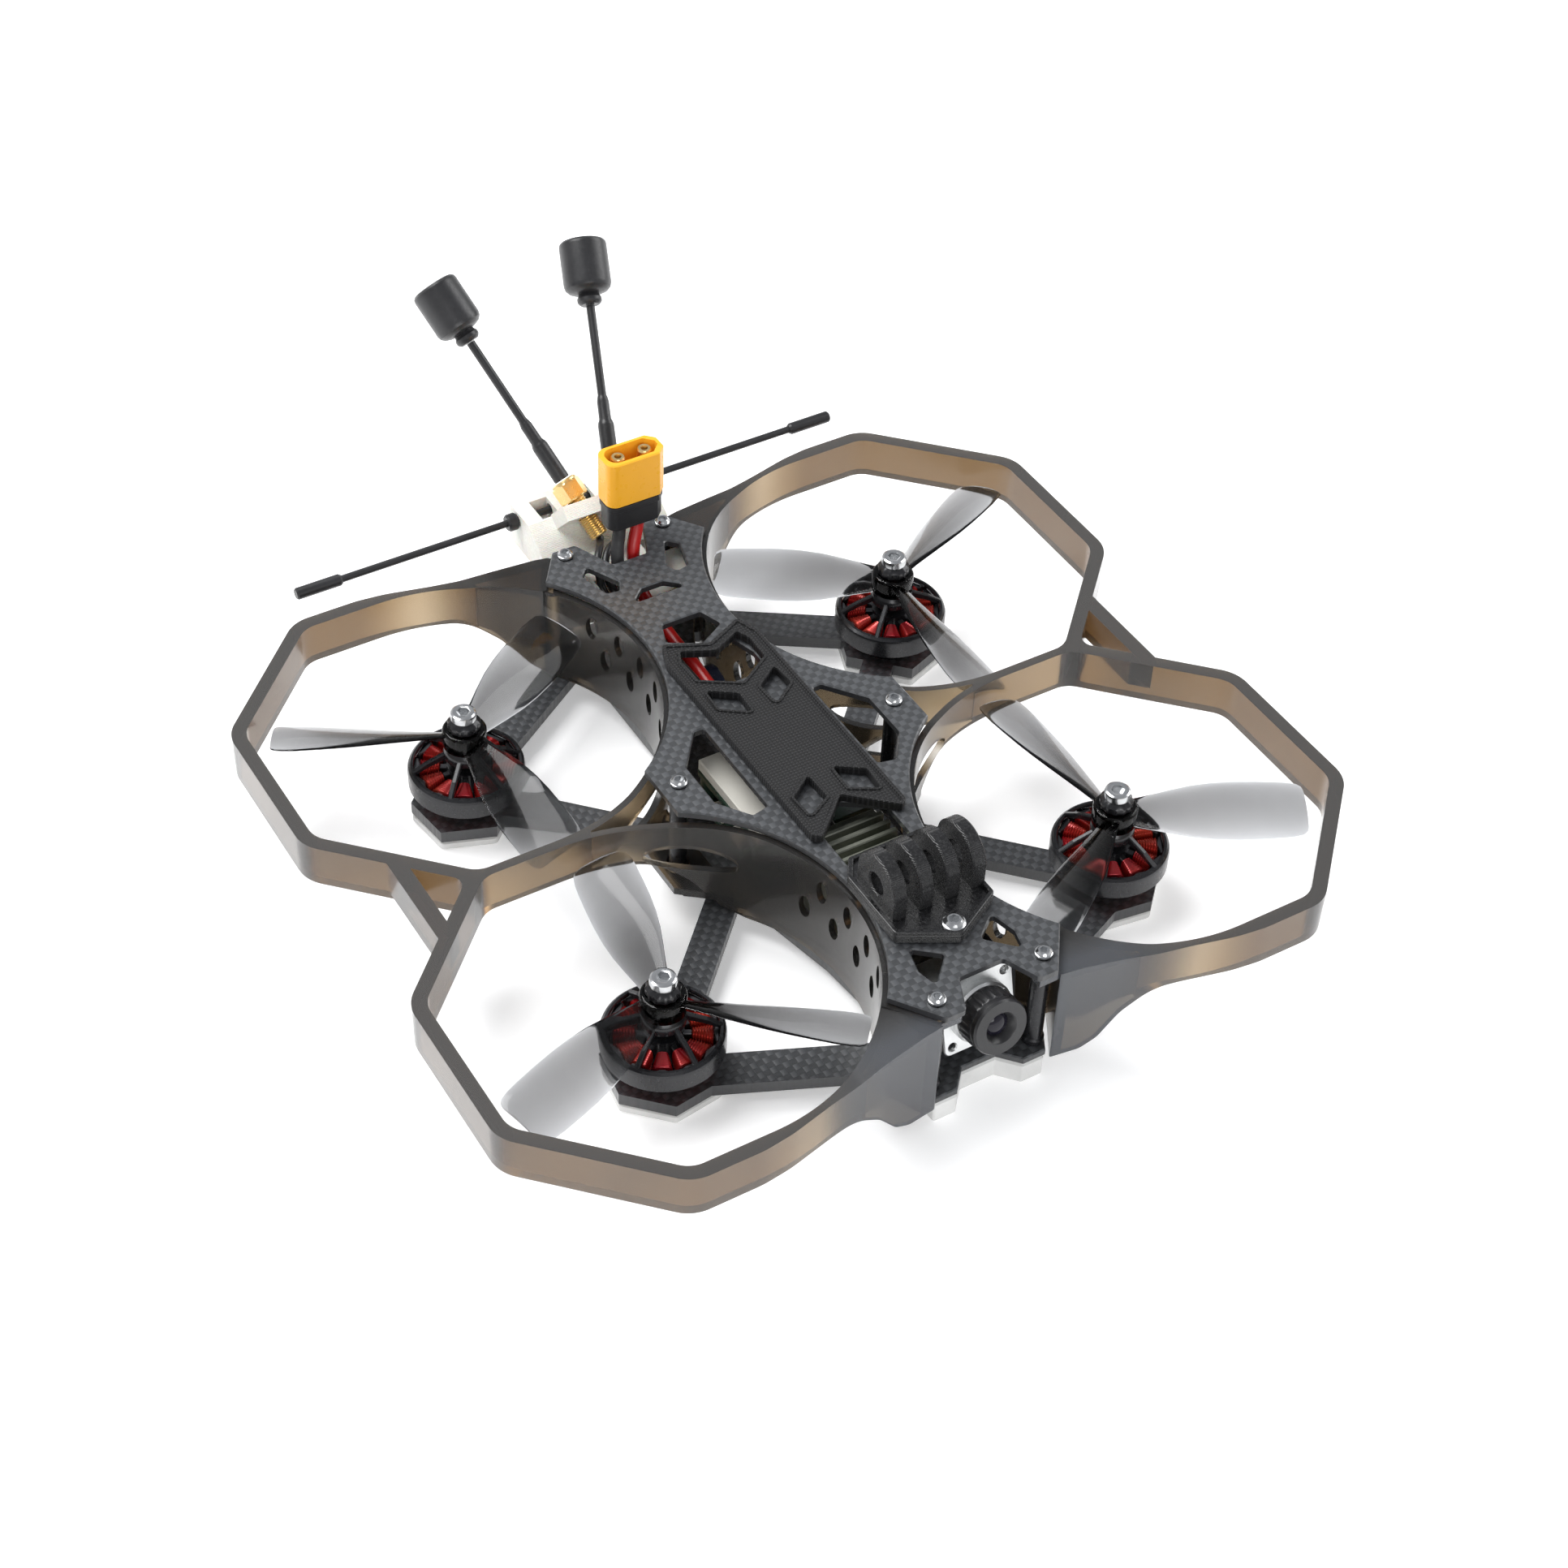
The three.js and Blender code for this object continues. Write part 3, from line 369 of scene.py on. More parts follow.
def add_floor():
    look = Look("white_floor", (0.93, 0.93, 0.93), 0.75, Emission_Color=(1, 1, 1, 1), Emission_Strength=0.3)
    look.set("Roughness", look.spread(look.noise(30), 0, 1, 0.7, 0.8))
    mesh = bpy.data.meshes.new("floor")
    mesh.from_pydata([(-4, -4, 0), (4, -4, 0), (4, 4, 0), (-4, 4, 0)], [], [(0, 1, 2, 3)])
    mesh.materials.append(look.material)
    floor = added("floor", mesh)
    floor.location.z = -0.0001


# ---- plane outlines


def flat(points):
    return [Vector(point[:2]) for point in points]


def arc(cx, cy, radius, start, end, step=3):
    count = max(2, math.ceil(abs(end - start) / math.radians(step)))
    angles = [start + (end - start) * i / count for i in range(count + 1)]
    return [Vector((cx + radius * math.cos(a), cy + radius * math.sin(a))) for a in angles]


def disc(x, y, radius, sides=24):
    return arc(x, y, radius, 0, 2 * PI, 360 / sides)[:-1]


def rounded(points, radius, closed=True, step=15):
    """The outline with its corners rounded. A point may carry its own radius as a third number."""
    result = []
    count = len(points)
    for i, point in enumerate(points):
        corner = Vector(point[:2])
        size = point[2] if len(point) > 2 else radius
        if size <= 0 or (not closed and i in (0, count - 1)):
            result.append(corner)
            continue
        before = Vector(points[i - 1][:2]) - corner
        after = Vector(points[(i + 1) % count][:2]) - corner
        angle = before.angle(after)
        if angle > PI - 0.03:
            result.append(corner)
            continue
        limit = 0.48 * min(before.length, after.length)
        reach = min(size / math.tan(angle / 2), limit)
        size = reach * math.tan(angle / 2)
        toward = (before.normalized() + after.normalized()).normalized()
        centre = corner + toward * size / math.sin(angle / 2)
        first = before.normalized() * reach + corner - centre
        last = after.normalized() * reach + corner - centre
        start = math.atan2(first.y, first.x)
        turn = (math.atan2(last.y, last.x) - start + PI) % (2 * PI) - PI
        result += arc(centre.x, centre.y, size, start, start + turn, step)
    return result


def square(half):
    return [(-half, -half), (half, -half), (half, half), (-half, half)]


def both_halves(points):
    """A half outline and its mirror image in x."""
    return [*points, *[(-x, *rest) for x, *rest in reversed(points) if abs(x) > 1e-6]]


def mirrored(points):
    """The same opening on the drone's left and right."""
    return [[(sx * x, y) for x, y in points] for sx in (1, -1)]


def area(points):
    return sum(a.cross(b) for a, b in zip(points, [*points[1:], points[0]])) / 2


def oriented(points, anticlockwise):
    points = flat(points)
    return points if (area(points) > 0) == anticlockwise else points[::-1]


def inset(points, amount):
    """An anticlockwise outline moved inwards, or a clockwise hole made wider."""
    result = []
    for i, point in enumerate(points):
        a = (point - points[i - 1]).normalized()
        b = (points[(i + 1) % len(points)] - point).normalized()
        left_a, left_b = Vector((-a.y, a.x)), Vector((-b.y, b.x))
        result.append(point + (left_a + left_b) * amount / max(1 + left_a.dot(left_b), 0.4))
    return result


def hourglass(nose_edge, tail_edge, radius, wing):
    """A plate outline that hugs all four ducts."""
    shoulder = math.asin((SHOULDER_Y - MOTOR_Y) / radius)
    waist = math.acos((MOTOR_X - wing) / radius)
    return [
        *flat(nose_edge),
        *arc(MOTOR_X, -MOTOR_Y, radius, PI + shoulder, PI - waist),
        *arc(MOTOR_X, MOTOR_Y, radius, PI + waist, PI - shoulder),
        *flat(tail_edge),
        *arc(-MOTOR_X, MOTOR_Y, radius, shoulder, -waist),
        *arc(-MOTOR_X, -MOTOR_Y, radius, waist, -shoulder),
    ]


# ---- solid shapes


class Shape:
    """Points in millimetres and the faces between them."""

    def __init__(self, points=(), faces=()):
        self.points = [Vector(point) for point in points]
        self.faces = [list(face) for face in faces]

    def add(self, *others):
        for other in others:
            start = len(self.points)
            self.points += [point.copy() for point in other.points]
            self.faces += [[start + i for i in face] for face in other.faces]
        return self

    def moved(self, matrix):
        faces = [face[::-1] for face in self.faces] if matrix.determinant() < 0 else self.faces
        return Shape([matrix @ point for point in self.points], faces)

    def at(self, x=0, y=0, z=0):
        return self.moved(Matrix.Translation((x, y, z)))

    def spun(self, degrees, axis="Z"):
        return self.moved(turn_about(degrees, axis))


# The radius that stands for zero at the axis of a turned solid.
AXIS = 0.02

# Shapes drawn flat and then stood up: a drawing's x, y becomes y, z, or x, z.
TO_YZ = Matrix(((0, 0, 1, 0), (1, 0, 0, 0), (0, 1, 0, 0), (0, 0, 0, 1)))
TO_XZ = Matrix(((1, 0, 0, 0), (0, 0, -1, 0), (0, 1, 0, 0), (0, 0, 0, 1)))
MIRROR_X = Matrix.Scale(-1, 4, (1, 0, 0))
FACING_NOSE = turn_about(90, "X")


def loft(rings, closed=False):
    """Joins rings of equally many points. Unless closed, each end gets one face."""
    count = len(rings[0])
    faces = []
    rows = len(rings) if closed else len(rings) - 1
    for i in range(rows):
        low, high = i * count, ((i + 1) % len(rings)) * count
        for j in range(count):
            k = (j + 1) % count
            faces.append((low + j, low + k, high + k, high + j))
    if not closed:
        faces.append(list(range(count))[::-1])
        faces.append([(len(rings) - 1) * count + j for j in range(count)])
    return Shape([point for ring in rings for point in ring], faces)


def circle(radius, height, sides=40, corners=0, teeth=0.0):
    """A ring round the z axis: round, a polygon with that many corners, or toothed."""
    ring = []
    for i in range(sides):
        angle = 2 * PI * i / sides
        far = radius - (teeth if i % 4 in (0, 1) else 0)
        if corners:
            half = PI / corners
            far = radius * math.cos(half) / math.cos(angle % (2 * half) - half)
        ring.append(Vector((far * math.cos(angle), far * math.sin(angle), height)))
    return ring


def ringed(rings, sides, closed=False):
    """A solid through rings, each given as radius, height, then its corners and teeth if it has any."""
    return loft([circle(radius, height, sides, *rest) for radius, height, *rest in rings], closed)


def turned(profile, sides=40, closed=False):
    """A solid turned about the z axis from (radius, height) points. Unless closed, it is filled up to
    the axis."""
    rings = list(profile)
    if not closed:
        rings.insert(0, (AXIS, profile[0][1]))
        if profile[-1][0] > AXIS:
            rings.append((AXIS, profile[-1][1]))
    return ringed(rings, sides, closed)


def repeated(shape, count, start=0):
    """Equal copies of a shape round the z axis."""
    return Shape().add(*[shape.spun(start + 360 / count * i) for i in range(count)])


def plate(outer, holes=(), low=0.0, high=1.0, edge=0.25):
    """A flat plate with through holes and chamfered edges."""
    loops = [oriented(outer, True), *[oriented(hole, False) for hole in holes]]
    levels = [(edge, low), (0, low + edge), (0, high - edge), (edge, high)]
    if not edge:
        levels = [(0, low), (0, high)]
    points, faces, starts = [], [], []
    for loop in loops:
        starts.append(len(points))
        count = len(loop)
        for amount, height in levels:
            ring = inset(loop, amount) if amount else loop
            points += [Vector((point.x, point.y, height)) for point in ring]
        for level in range(len(levels) - 1):
            a, b = starts[-1] + level * count, starts[-1] + (level + 1) * count
            for j in range(count):
                k = (j + 1) % count
                faces.append((a + j, a + k, b + k, b + j))
    for level in (0, len(levels) - 1):
        flat_loops = []
        index = []
        for start, loop in zip(starts, loops):
            here = [start + level * len(loop) + j for j in range(len(loop))]
            index += here
            flat_loops.append([Vector((points[i].x, points[i].y, 0)) for i in here])
        for a, b, c in tessellate_polygon(flat_loops):
            faces.append((index[a], index[b], index[c]))
    return Shape(points, faces)


def box(x0, x1, y0, y1, z0, z1, edge=0.3, corner=0.4):
    outline = rounded([(x0, y0), (x1, y0), (x1, y1), (x0, y1)], corner)
    return plate(outline, (), z0, z1, edge)


def mesh_of(name, shape, scale=MM):
    mesh = bpy.data.meshes.new(name)
    mesh.from_pydata([point * scale for point in shape.points], [], shape.faces)
    made = bmesh.new()
    made.from_mesh(mesh)
    bmesh.ops.remove_doubles(made, verts=made.verts, dist=0.002 * scale)
    bmesh.ops.dissolve_degenerate(made, edges=made.edges, dist=0.0005 * scale)
    bmesh.ops.recalc_face_normals(made, faces=made.faces)
    made.to_mesh(mesh)
    made.free()
    return mesh


def carved(name, base, steps):
    """The base shape after a list of (operation, shape) steps, as a mesh in metres."""
    objects = []
    for i, shape in enumerate([base, *[step[1] for step in steps]]):
        objects.append(added(f"tool_{i}", mesh_of(f"tool_{i}", shape, 1.0)))
    for tool, (operation, _) in zip(objects[1:], steps):
        modifier = objects[0].modifiers.new("cut", "BOOLEAN")
        modifier.operation = operation
        modifier.solver = "MANIFOLD"
        modifier.object = tool
    bpy.context.view_layer.update()
    graph = bpy.context.evaluated_depsgraph_get()
    mesh = bpy.data.meshes.new_from_object(objects[0].evaluated_get(graph))
    mesh.name = name
    mesh.materials.clear()
    for obj in objects:
        data = obj.data
        bpy.data.objects.remove(obj)
        bpy.data.meshes.remove(data)
    mesh.transform(Matrix.Scale(MM, 4))
    return mesh


def soften(obj, width, segments=2, angle=32):
    modifier = obj.modifiers.new("soft_edges", "BEVEL")
    modifier.width = width * MM
    modifier.segments = segments
    modifier.limit_method = "ANGLE"
    modifier.angle_limit = math.radians(angle)
    return obj


def attach(obj, body, node):
    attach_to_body(obj, body)
    if node:
        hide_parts(node)


def piece(name, shape, look, body="airframe", node=None, at=(0, 0, 0), turn=None, sharp=28):
    """Adds one visible piece, which may stand for a CAD node. at is in the drawing's millimetres, and
    turn is a matrix about it."""
    mesh = shape if isinstance(shape, bpy.types.Mesh) else mesh_of(name, shape)
    if not mesh.materials:
        mesh.materials.append(LOOKS[look])
        mesh.polygons.foreach_set("use_smooth", [True] * len(mesh.polygons))
        mesh.set_sharp_from_angle(angle=math.radians(sharp))
    obj = added(name, mesh)
    place = Matrix.Translation(Vector((at[0], at[1] - MIDDLE_Y, at[2])) * MM)
    obj.matrix_world = place @ turn if turn else place
    weighted = obj.modifiers.new("even_shading", "WEIGHTED_NORMAL")
    weighted.keep_sharp = True
    attach(obj, body, node)
    return obj


def keep_node(node, look, edge):
    """A CAD node whose shape is right gets its finish and softened edges."""
    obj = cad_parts[node]
    obj.data.materials.clear()
    obj.data.materials.append(LOOKS[look])
    soften(obj, edge)


# ---- cords

LEAD_WIDTH = 3.2
TAIL_WIDTH = 1.9


def smooth_line(points, steps=8):
    """A Catmull-Rom curve through the points."""
    points = [Vector(point) for point in points]
    ends = [2 * points[0] - points[1], *points, 2 * points[-1] - points[-2]]
    line = []
    for a, b, c, d in zip(ends, ends[1:], ends[2:], ends[3:]):
        for i in range(steps):
            t = i / steps
            line.append(0.5 * (2 * b + (c - a) * t + (2 * a - 5 * b + 4 * c - d) * t * t
                               + (3 * b - 3 * c + d - a) * t ** 3))
    return [*line, points[-1]]


def wire(name, route, diameter, look, node=None):
    """A round wire along a route, as one curve, with its exit and length in metres."""
    line = smooth_line([(x, y - MIDDLE_Y, z) for x, y, z in route])
    curve = bpy.data.curves.new(name, "CURVE")
    curve.dimensions = "3D"
    curve.bevel_depth = diameter / 2 * MM
    curve.bevel_resolution = 5
    curve.use_fill_caps = True
    spline = curve.splines.new("POLY")
    spline.points.add(len(line) - 1)
    for point, place in zip(spline.points, line):
        point.co = (*(place * MM), 1)
    spline.use_smooth = True
    curve.materials.append(LOOKS[look])
    obj = added(name, curve)
    attach(obj, "airframe", node)
    length = sum((b - a).length for a, b in zip(line, line[1:])) * MM
    return obj, [value * MM for value in line[0]], length


def add_cords(plug_pieces):
    """The power leads rise from the speed controller to the plug, and the antenna wires run to the
    video transmitter."""
    boot_low = 40.7
    lower = [(3.2, 13.5, 15.9), (3.2, 24, 16.2), (3, 34, 18), (2.6, 46.2, 20.5), (2.2, 60, 21.8),
             (1.95, 72, 25.4)]
    routes = {
        "red": [*lower, (2.3, 77.2, 31), (3.2, 79, 35), (4.5, 80.1, 38), (5.2, 80.7, 40),
                (5.2, 80.8, boot_low)],
        "black": [*[(-x, y, z) for x, y, z in lower], (-1.9, 77.2, 31), (-1.2, 79.2, 35), (0, 80.6, 38),
                  (0.6, 81.3, 40), (0.6, 81.4, boot_low)],
    }
    finishes = {"red": "red_silicone", "black": "plain_rubber"}
    for colour, route in routes.items():
        node = f"power_lead_{colour}"
        lead, exit_point, length = wire(f"lead_{colour}", route, LEAD_WIDTH, finishes[colour], node)
    tails = {
        "right": [(-0.75, 89.1, 31.9), (-1.6, 87.4, 31.6), (-3.4, 84.4, 32.6), (-5.6, 81.2, 32.2),
                  (-6.9, 78, 29.4), (-7.2, 74, 27), (-6.6, 62, 25.6), (-6, 40, 25.4), (-6.2, 20, 25.6),
                  (-6.2, 0, 26), (-5.4, -14, 25.4), (-5, -21.6, 24)],
        "left": [(4.95, 89.1, 31.9), (4.0, 87.2, 31.2), (1.4, 85.4, 31.8), (-1.6, 83, 32.6),
                 (-4.1, 80, 31.6), (-5, 76.4, 28.6), (-4.8, 70, 26.8), (-3.8, 58, 25.8), (-2.6, 40, 25.4),
                 (-2.6, 20, 25.6), (-2.4, 0, 26), (0, -14, 25.4), (0.6, -21.6, 24)],
    }
    for side, route in tails.items():
        tail, exit_point, length = wire(f"antenna_wire_{side}", route, TAIL_WIDTH, "black_plastic")


# ---- plates and pads


def roof_plate():
    nose = rounded([(-NOSE_HALF, -NOSE_Y), (-9.3, -NOSE_Y), (-5.6, -79.5), (5.6, -79.5), (9.3, -NOSE_Y),
                    (NOSE_HALF, -NOSE_Y)], 1.2, False)
    tail = rounded([(15.5, TAIL_Y), (9.4, TAIL_Y), (4.6, 75), (-4.6, 75), (-9.4, TAIL_Y), (-15.5, TAIL_Y)],
                   1.2, False)
    openings = [
        *mirrored([(14.4, -15.5), (18.8, -16.5), (24.3, -9), (24.3, 4), (17, 13.4), (14.4, 13.4)]),
        *mirrored([(4.6, -72.5), (10.6, -67.5), (12.2, -74), (11, -79)]),
        *mirrored([(6.4, 68.5), (8, 65.6), (11.2, 66.2), (13.4, 74.4), (10.8, 77.2)]),
        both_halves([(0, -22), (-8.8, -28), (-8.8, -40.5)]),
        both_halves([(0, 35.6), (-6.5, 39), (-9, 31), (-9, 24)]),
        both_halves([(0, 39.4), (-7.4, 43.6), (-5.2, 49.6)]),
        both_halves([(-7.5, 59.8), (-3, 63.8)]),
    ]
    holes = [rounded(points, 0.8) for points in openings]
    holes += [disc(x, y, 1.6) for x, y in SCREW_PLACES.values()]
    holes.append(disc(0, MOUNT_SCREW_Y, 1.6))
    outline = hourglass(nose, tail, PLATE_ARC, WING)
    return plate(outline, holes, ROOF_BOTTOM, ROOF_TOP, 0.3)


def floor_plate():
    nose = [(-14.3, -87), (-8.6, -87), (-4.4, -82.3), (4.4, -82.3), (8.6, -87), (14.3, -87)]
    openings = [[(-6, -66), (-6, -52)], [(-9, -8), (-9, 8)], [(-5, 54), (-5, 64)]]
    holes = [rounded(both_halves(points), 1.5) for points in openings]
    outline = hourglass(nose, [(14.3, TAIL_Y), (-14.3, TAIL_Y)], PLATE_ARC + WALL, WING - 2)
    return plate(outline, holes, FLOOR_BOTTOM, FLOOR_TOP, 0.3)


SEAT = [(13, 3.9), (3.9, 13), (-8.5, 11.3), (-13, -1), (-1, -13), (11.3, -8.5)]


def add_plates():
    piece("roof", roof_plate(), "carbon_fibre", node="top_plate")
    piece("floor_deck", floor_plate(), "carbon_fibre", node="floor_plate")
    keep_node("arm_plate", "carbon_fibre", 0.3)
    for corner, (sx, sy) in CORNERS.items():
        outline = rounded([(sx * x, sy * y) for x, y in SEAT], 1.4)
        foot = piece(f"foot_{corner}", plate(outline, (), 0, FOOT_TOP, 0.45), "white_foam",
                     node=f"foot_pad_{corner}", at=(sx * MOTOR_X, sy * MOTOR_Y, 0))
    nose = both_halves([(-4.4, -82.3), (-8.6, -87), (-14.3, -87), (-14.3, -81), (-9, -80.5)])
    foot = piece("nose_foot", plate(rounded(nose, 0.7), (), 0, ARM_TOP, 0.5), "white_foam",
                 node="nose_pad")


def add_battery_pad():
    outline = rounded(both_halves([(0, -22.5), (-10.4, -32), (-12.2, -30.5), (-12.4, 34.5), (-10.2, 40.8),
                                   (0, 36.1)]), 0.9)
    windows = [
        *mirrored([(3.2, -13.8), (9.5, -18.2), (9.2, -25), (2.8, -21.4)]),
        *mirrored([(3.2, 10.6), (9.5, 15), (9.2, 21.8), (2.8, 17.4)]),
        both_halves([(0, 33), (-7.6, 36.6), (-9.2, 33), (-9, 26), (0, 20.4)]),
    ]
    holes = [rounded(window, 0.6) for window in windows]
    low, high = ROOF_TOP + GAP, ROOF_TOP + 2.6
    shape = plate(outline, holes, low, high - 0.4, 0.2)
    lips = [plate(outline, [inset(oriented(outline, True), 0.9)], high - 0.6, high, 0.15)]
    lips += [plate(inset(oriented(hole, True), -0.7), [hole], high - 0.6, high, 0.15) for hole in holes]
    piece("strap_pad", shape.add(*lips), "black_rubber", node="battery_pad")


# ---- screws and standoffs


def socket_screw(radius, height, socket, shank=1.3, depth=4.0):
    """A button-head screw with a hexagon socket. z = 0 is under its head."""
    rings = [(shank, -depth), (shank, 0), (radius * 0.97, 0), (radius, height * 0.12),
             (radius, height * 0.45)]
    for part in (0.25, 0.5, 0.75, 1.0):
        fall = math.cos(part * PI / 2)
        rings.append((radius - (radius - socket - 0.25) * part, height * (1 - 0.55 * fall ** 1.4)))
    return ringed([*rings, (socket, height, 6), (socket, height * 0.35, 6)], 36)


def add_fasteners():
    head = ROOF_TOP + GAP
    screw = mesh_of("plate_screw", socket_screw(1.95, 1.3, 1.0))
    low, high = DECK, WALL_TOP
    profile = [(2.5, low), (2.5, low + 1.2), (2.1, low + 1.6), (2.1, high - 1.6), (2.5, high - 1.2),
               (2.5, high), (1.6, high), (1.6, high - 5)]
    post = mesh_of("standoff", turned(profile, 36))
    for name, (x, y) in SCREW_PLACES.items():
        turn = Matrix.Rotation(x * 0.3 + y * 0.11, 4, "Z")
        piece(f"screw_{name}", screw, "steel", node=f"plate_screw_{name}", at=(x, y, head), turn=turn)
        piece(f"post_{name}", post, "black_metal", node=f"standoff_{name}", at=(x, y, 0))


# ---- duct guards


def guard_edge(sy, corner_x, corner_y, end, half):
    points = [(corner_x, corner_y, 0.8), (30, end - 6.7, 30), (45, end - 3.6, 40), (56, end - 0.9, 30),
              (63, end, 20), (MOTOR_X + half, end, 9)]
    return [(x, sy * y, radius) for x, y, radius in points]


def guard_outline():
    apothem = DUCT_RADIUS + RIM_WIDTH
    half = apothem * math.tan(PI / 8)
    out = MOTOR_X + apothem
    end = MOTOR_Y + apothem
    side = [(out, -MOTOR_Y - half, 9), (out, -MOTOR_Y + half, 9), (out - MOTOR_Y + half, 0, 3),
            (out, MOTOR_Y - half, 9), (out, MOTOR_Y + half, 9)]
    front = guard_edge(-1, NOSE_HALF + 0.8, NOSE_Y, end, half)
    rear = guard_edge(1, NOSE_HALF + 2, TAIL_Y + 1, end, half)
    return rounded([*front, *side, *reversed(rear), (2, 0, 0)], 0, step=6)


def duct_bore(sy, low, high):
    half = DUCT_RADIUS * math.tan(PI / 8)
    centre = sy * MOTOR_Y
    outside = [(MOTOR_X, centre - DUCT_RADIUS), (MOTOR_X + half, centre - DUCT_RADIUS),
               (MOTOR_X + DUCT_RADIUS, centre - half), (MOTOR_X + DUCT_RADIUS, centre + half),
               (MOTOR_X + half, centre + DUCT_RADIUS), (MOTOR_X, centre + DUCT_RADIUS)]
    inside = arc(MOTOR_X, centre, DUCT_RADIUS, PI / 2, 3 * PI / 2, 2)
    return plate([*rounded(outside, 6.5, False, 6), *inside[1:-1]], (), low, high, 0)


def corner_pocket(sy):
    """The hollow behind a nose or tail panel, open below."""
    start = math.asin((SHOULDER_Y + 1.4 - MOTOR_Y) / WAIST_ARC)
    end = math.acos(24 / WAIST_ARC)
    curve = arc(MOTOR_X, sy * MOTOR_Y, WAIST_ARC, PI - sy * start, PI - sy * end, 2)
    corners = [(MOTOR_X - 24, sy * (NOSE_Y + 1.4)), (18.4, sy * (NOSE_Y - 1.5))]
    return plate([*curve, *flat(corners)], (), -1, RIM_TOP - 1.2, 0)


def guard_profile():
    """The guard's heights seen from the nose: full at the body, a low rim further out."""
    far = MOTOR_X + DUCT_RADIUS + RIM_WIDTH + 5
    low = ARM_TOP + GAP
    side = [(0, low, 0), (22, low, 4), (26, 8.2, 5), (31, 14.6, 10), (38, RIM_BOTTOM, 12),
            (far, RIM_BOTTOM, 0), (far, RIM_TOP, 0), (38, RIM_TOP, 20), (20, WALL_TOP, 20), (0, WALL_TOP, 0)]
    return plate(rounded(side, 0, step=5), (), -MOTOR_Y * 3, MOTOR_Y * 3, 0).moved(TO_XZ)


def wall_opening(sy, degrees, height, half_width, half_height):
    """An oval through the wall beside the body, at an angle from the body side towards the wing."""
    oval = [(half_width * point.x, half_height * point.y) for point in disc(0, 0, 1, 28)]
    shape = plate(oval, (), -4, 4, 0).moved(TO_YZ).at(DUCT_RADIUS + WALL / 2, 0, height)
    return shape.spun(180 + degrees * sy).at(MOTOR_X, sy * MOTOR_Y, 0)


def wall_openings(sy):
    rows = {26.5: (-22.5, -11, 0.5, 12), 18.7: (-17, -5.3, 6.4, 18)}
    slots = [wall_opening(sy, degrees, height, 1.6, 3.2) for height, row in rows.items() for degrees in row]
    return [*slots, wall_opening(sy, 53, 21.4, 11, 3.3)]


def left_guard():
    nose = [(-NOSE_HALF - 1, -NOSE_Y - 9), (NOSE_HALF + 0.8, -NOSE_Y - 9), (NOSE_HALF + 0.8, -NOSE_Y)]
    tail = [(NOSE_HALF + 1.6, TAIL_Y), (-NOSE_HALF - 1.6, TAIL_Y)]
    waist = plate(hourglass(nose, tail, WAIST_ARC, MOTOR_X - 8), (), -1, ROOF_TOP + 1, 0)
    brace = box(90.6, 94.5, -16, 16, RIM_BOTTOM + 2, RIM_TOP, 0, 0)
    under = WALL_TOP - TAB
    tabs = [
        (under, [(9.9, -87.4), (15.4, -87.4), (23.5, -76.5), (18.5, -75.5), (16.5, -79.8), (9.9, -79.8)]),
        (under, [(10, 85.8), (16.4, 86.6), (23.5, 76.5), (18.5, 75.5), (16.5, 79.8), (10, 79.8)]),
        (DECK, [(22.5, -16.2), (33.5, -7), (33.5, 7), (22.5, 16.2)]),
    ]
    steps = [("DIFFERENCE", waist)]
    steps += [("DIFFERENCE", shape) for sy in (-1, 1) for shape in (duct_bore(sy, -1, 36), corner_pocket(sy))]
    steps.append(("INTERSECT", guard_profile()))
    steps.append(("UNION", brace))
    steps += [("UNION", plate(outline, (), low, low + TAB, 0)) for low, outline in tabs]
    steps += [("DIFFERENCE", plate(disc(x, y, 2.8), (), 5, 36, 0)) for x, y in SCREW_PLACES.values() if x > 0]
    steps += [("DIFFERENCE", duct_bore(sy, -2, 37)) for sy in (-1, 1)]
    steps += [("DIFFERENCE", opening) for sy in (-1, 1) for opening in wall_openings(sy)]
    return carved("duct_guard", plate(guard_outline(), (), 0, ROOF_TOP, 0), steps)


def add_guards():
    left = left_guard()
    right = left.copy()
    right.transform(MIRROR_X)
    right.flip_normals()
    for side, mesh in (("left", left), ("right", right)):
        guard = piece(f"guard_{side}", mesh, "smoked_plastic", node=f"duct_guard_{side}")
        guard.modifiers.clear()
        soften(guard, 0.5, 3, 40)
        guard.modifiers.new("even_shading", "WEIGHTED_NORMAL")


# ---- motors and propellers

STATOR_TEETH = 12
STATOR_LOW, STATOR_HIGH = 11.3, 15.3
MAGNETS = 14
SPOKES = 6
BLADES = 3


def motor_base():
    shape = turned([(8.5, ARM_TOP + GAP), (8.5, 8.0), (8.1, 8.4), (5.2, 8.6), (4.6, 9.2),
                    (4.6, 16.3), (3.0, 16.6)], 48)
    return shape.add(repeated(socket_screw(1.5, 1.0, 0.7, 0.8, 0.4).at(6.4, 0, 8.3), 4, 45))


def stator():
    """Laminated teeth that the coils are wound on."""
    tooth = [(4.4, 0.7), (10.9, 0.7), (11.4, 2.5), (12.1, 2.7)]
    outline = [*[(x, -y) for x, y in tooth], *reversed(tooth)]
    return repeated(plate(rounded(outline, 0.2), (), STATOR_LOW, STATOR_HIGH, 0.2), STATOR_TEETH)


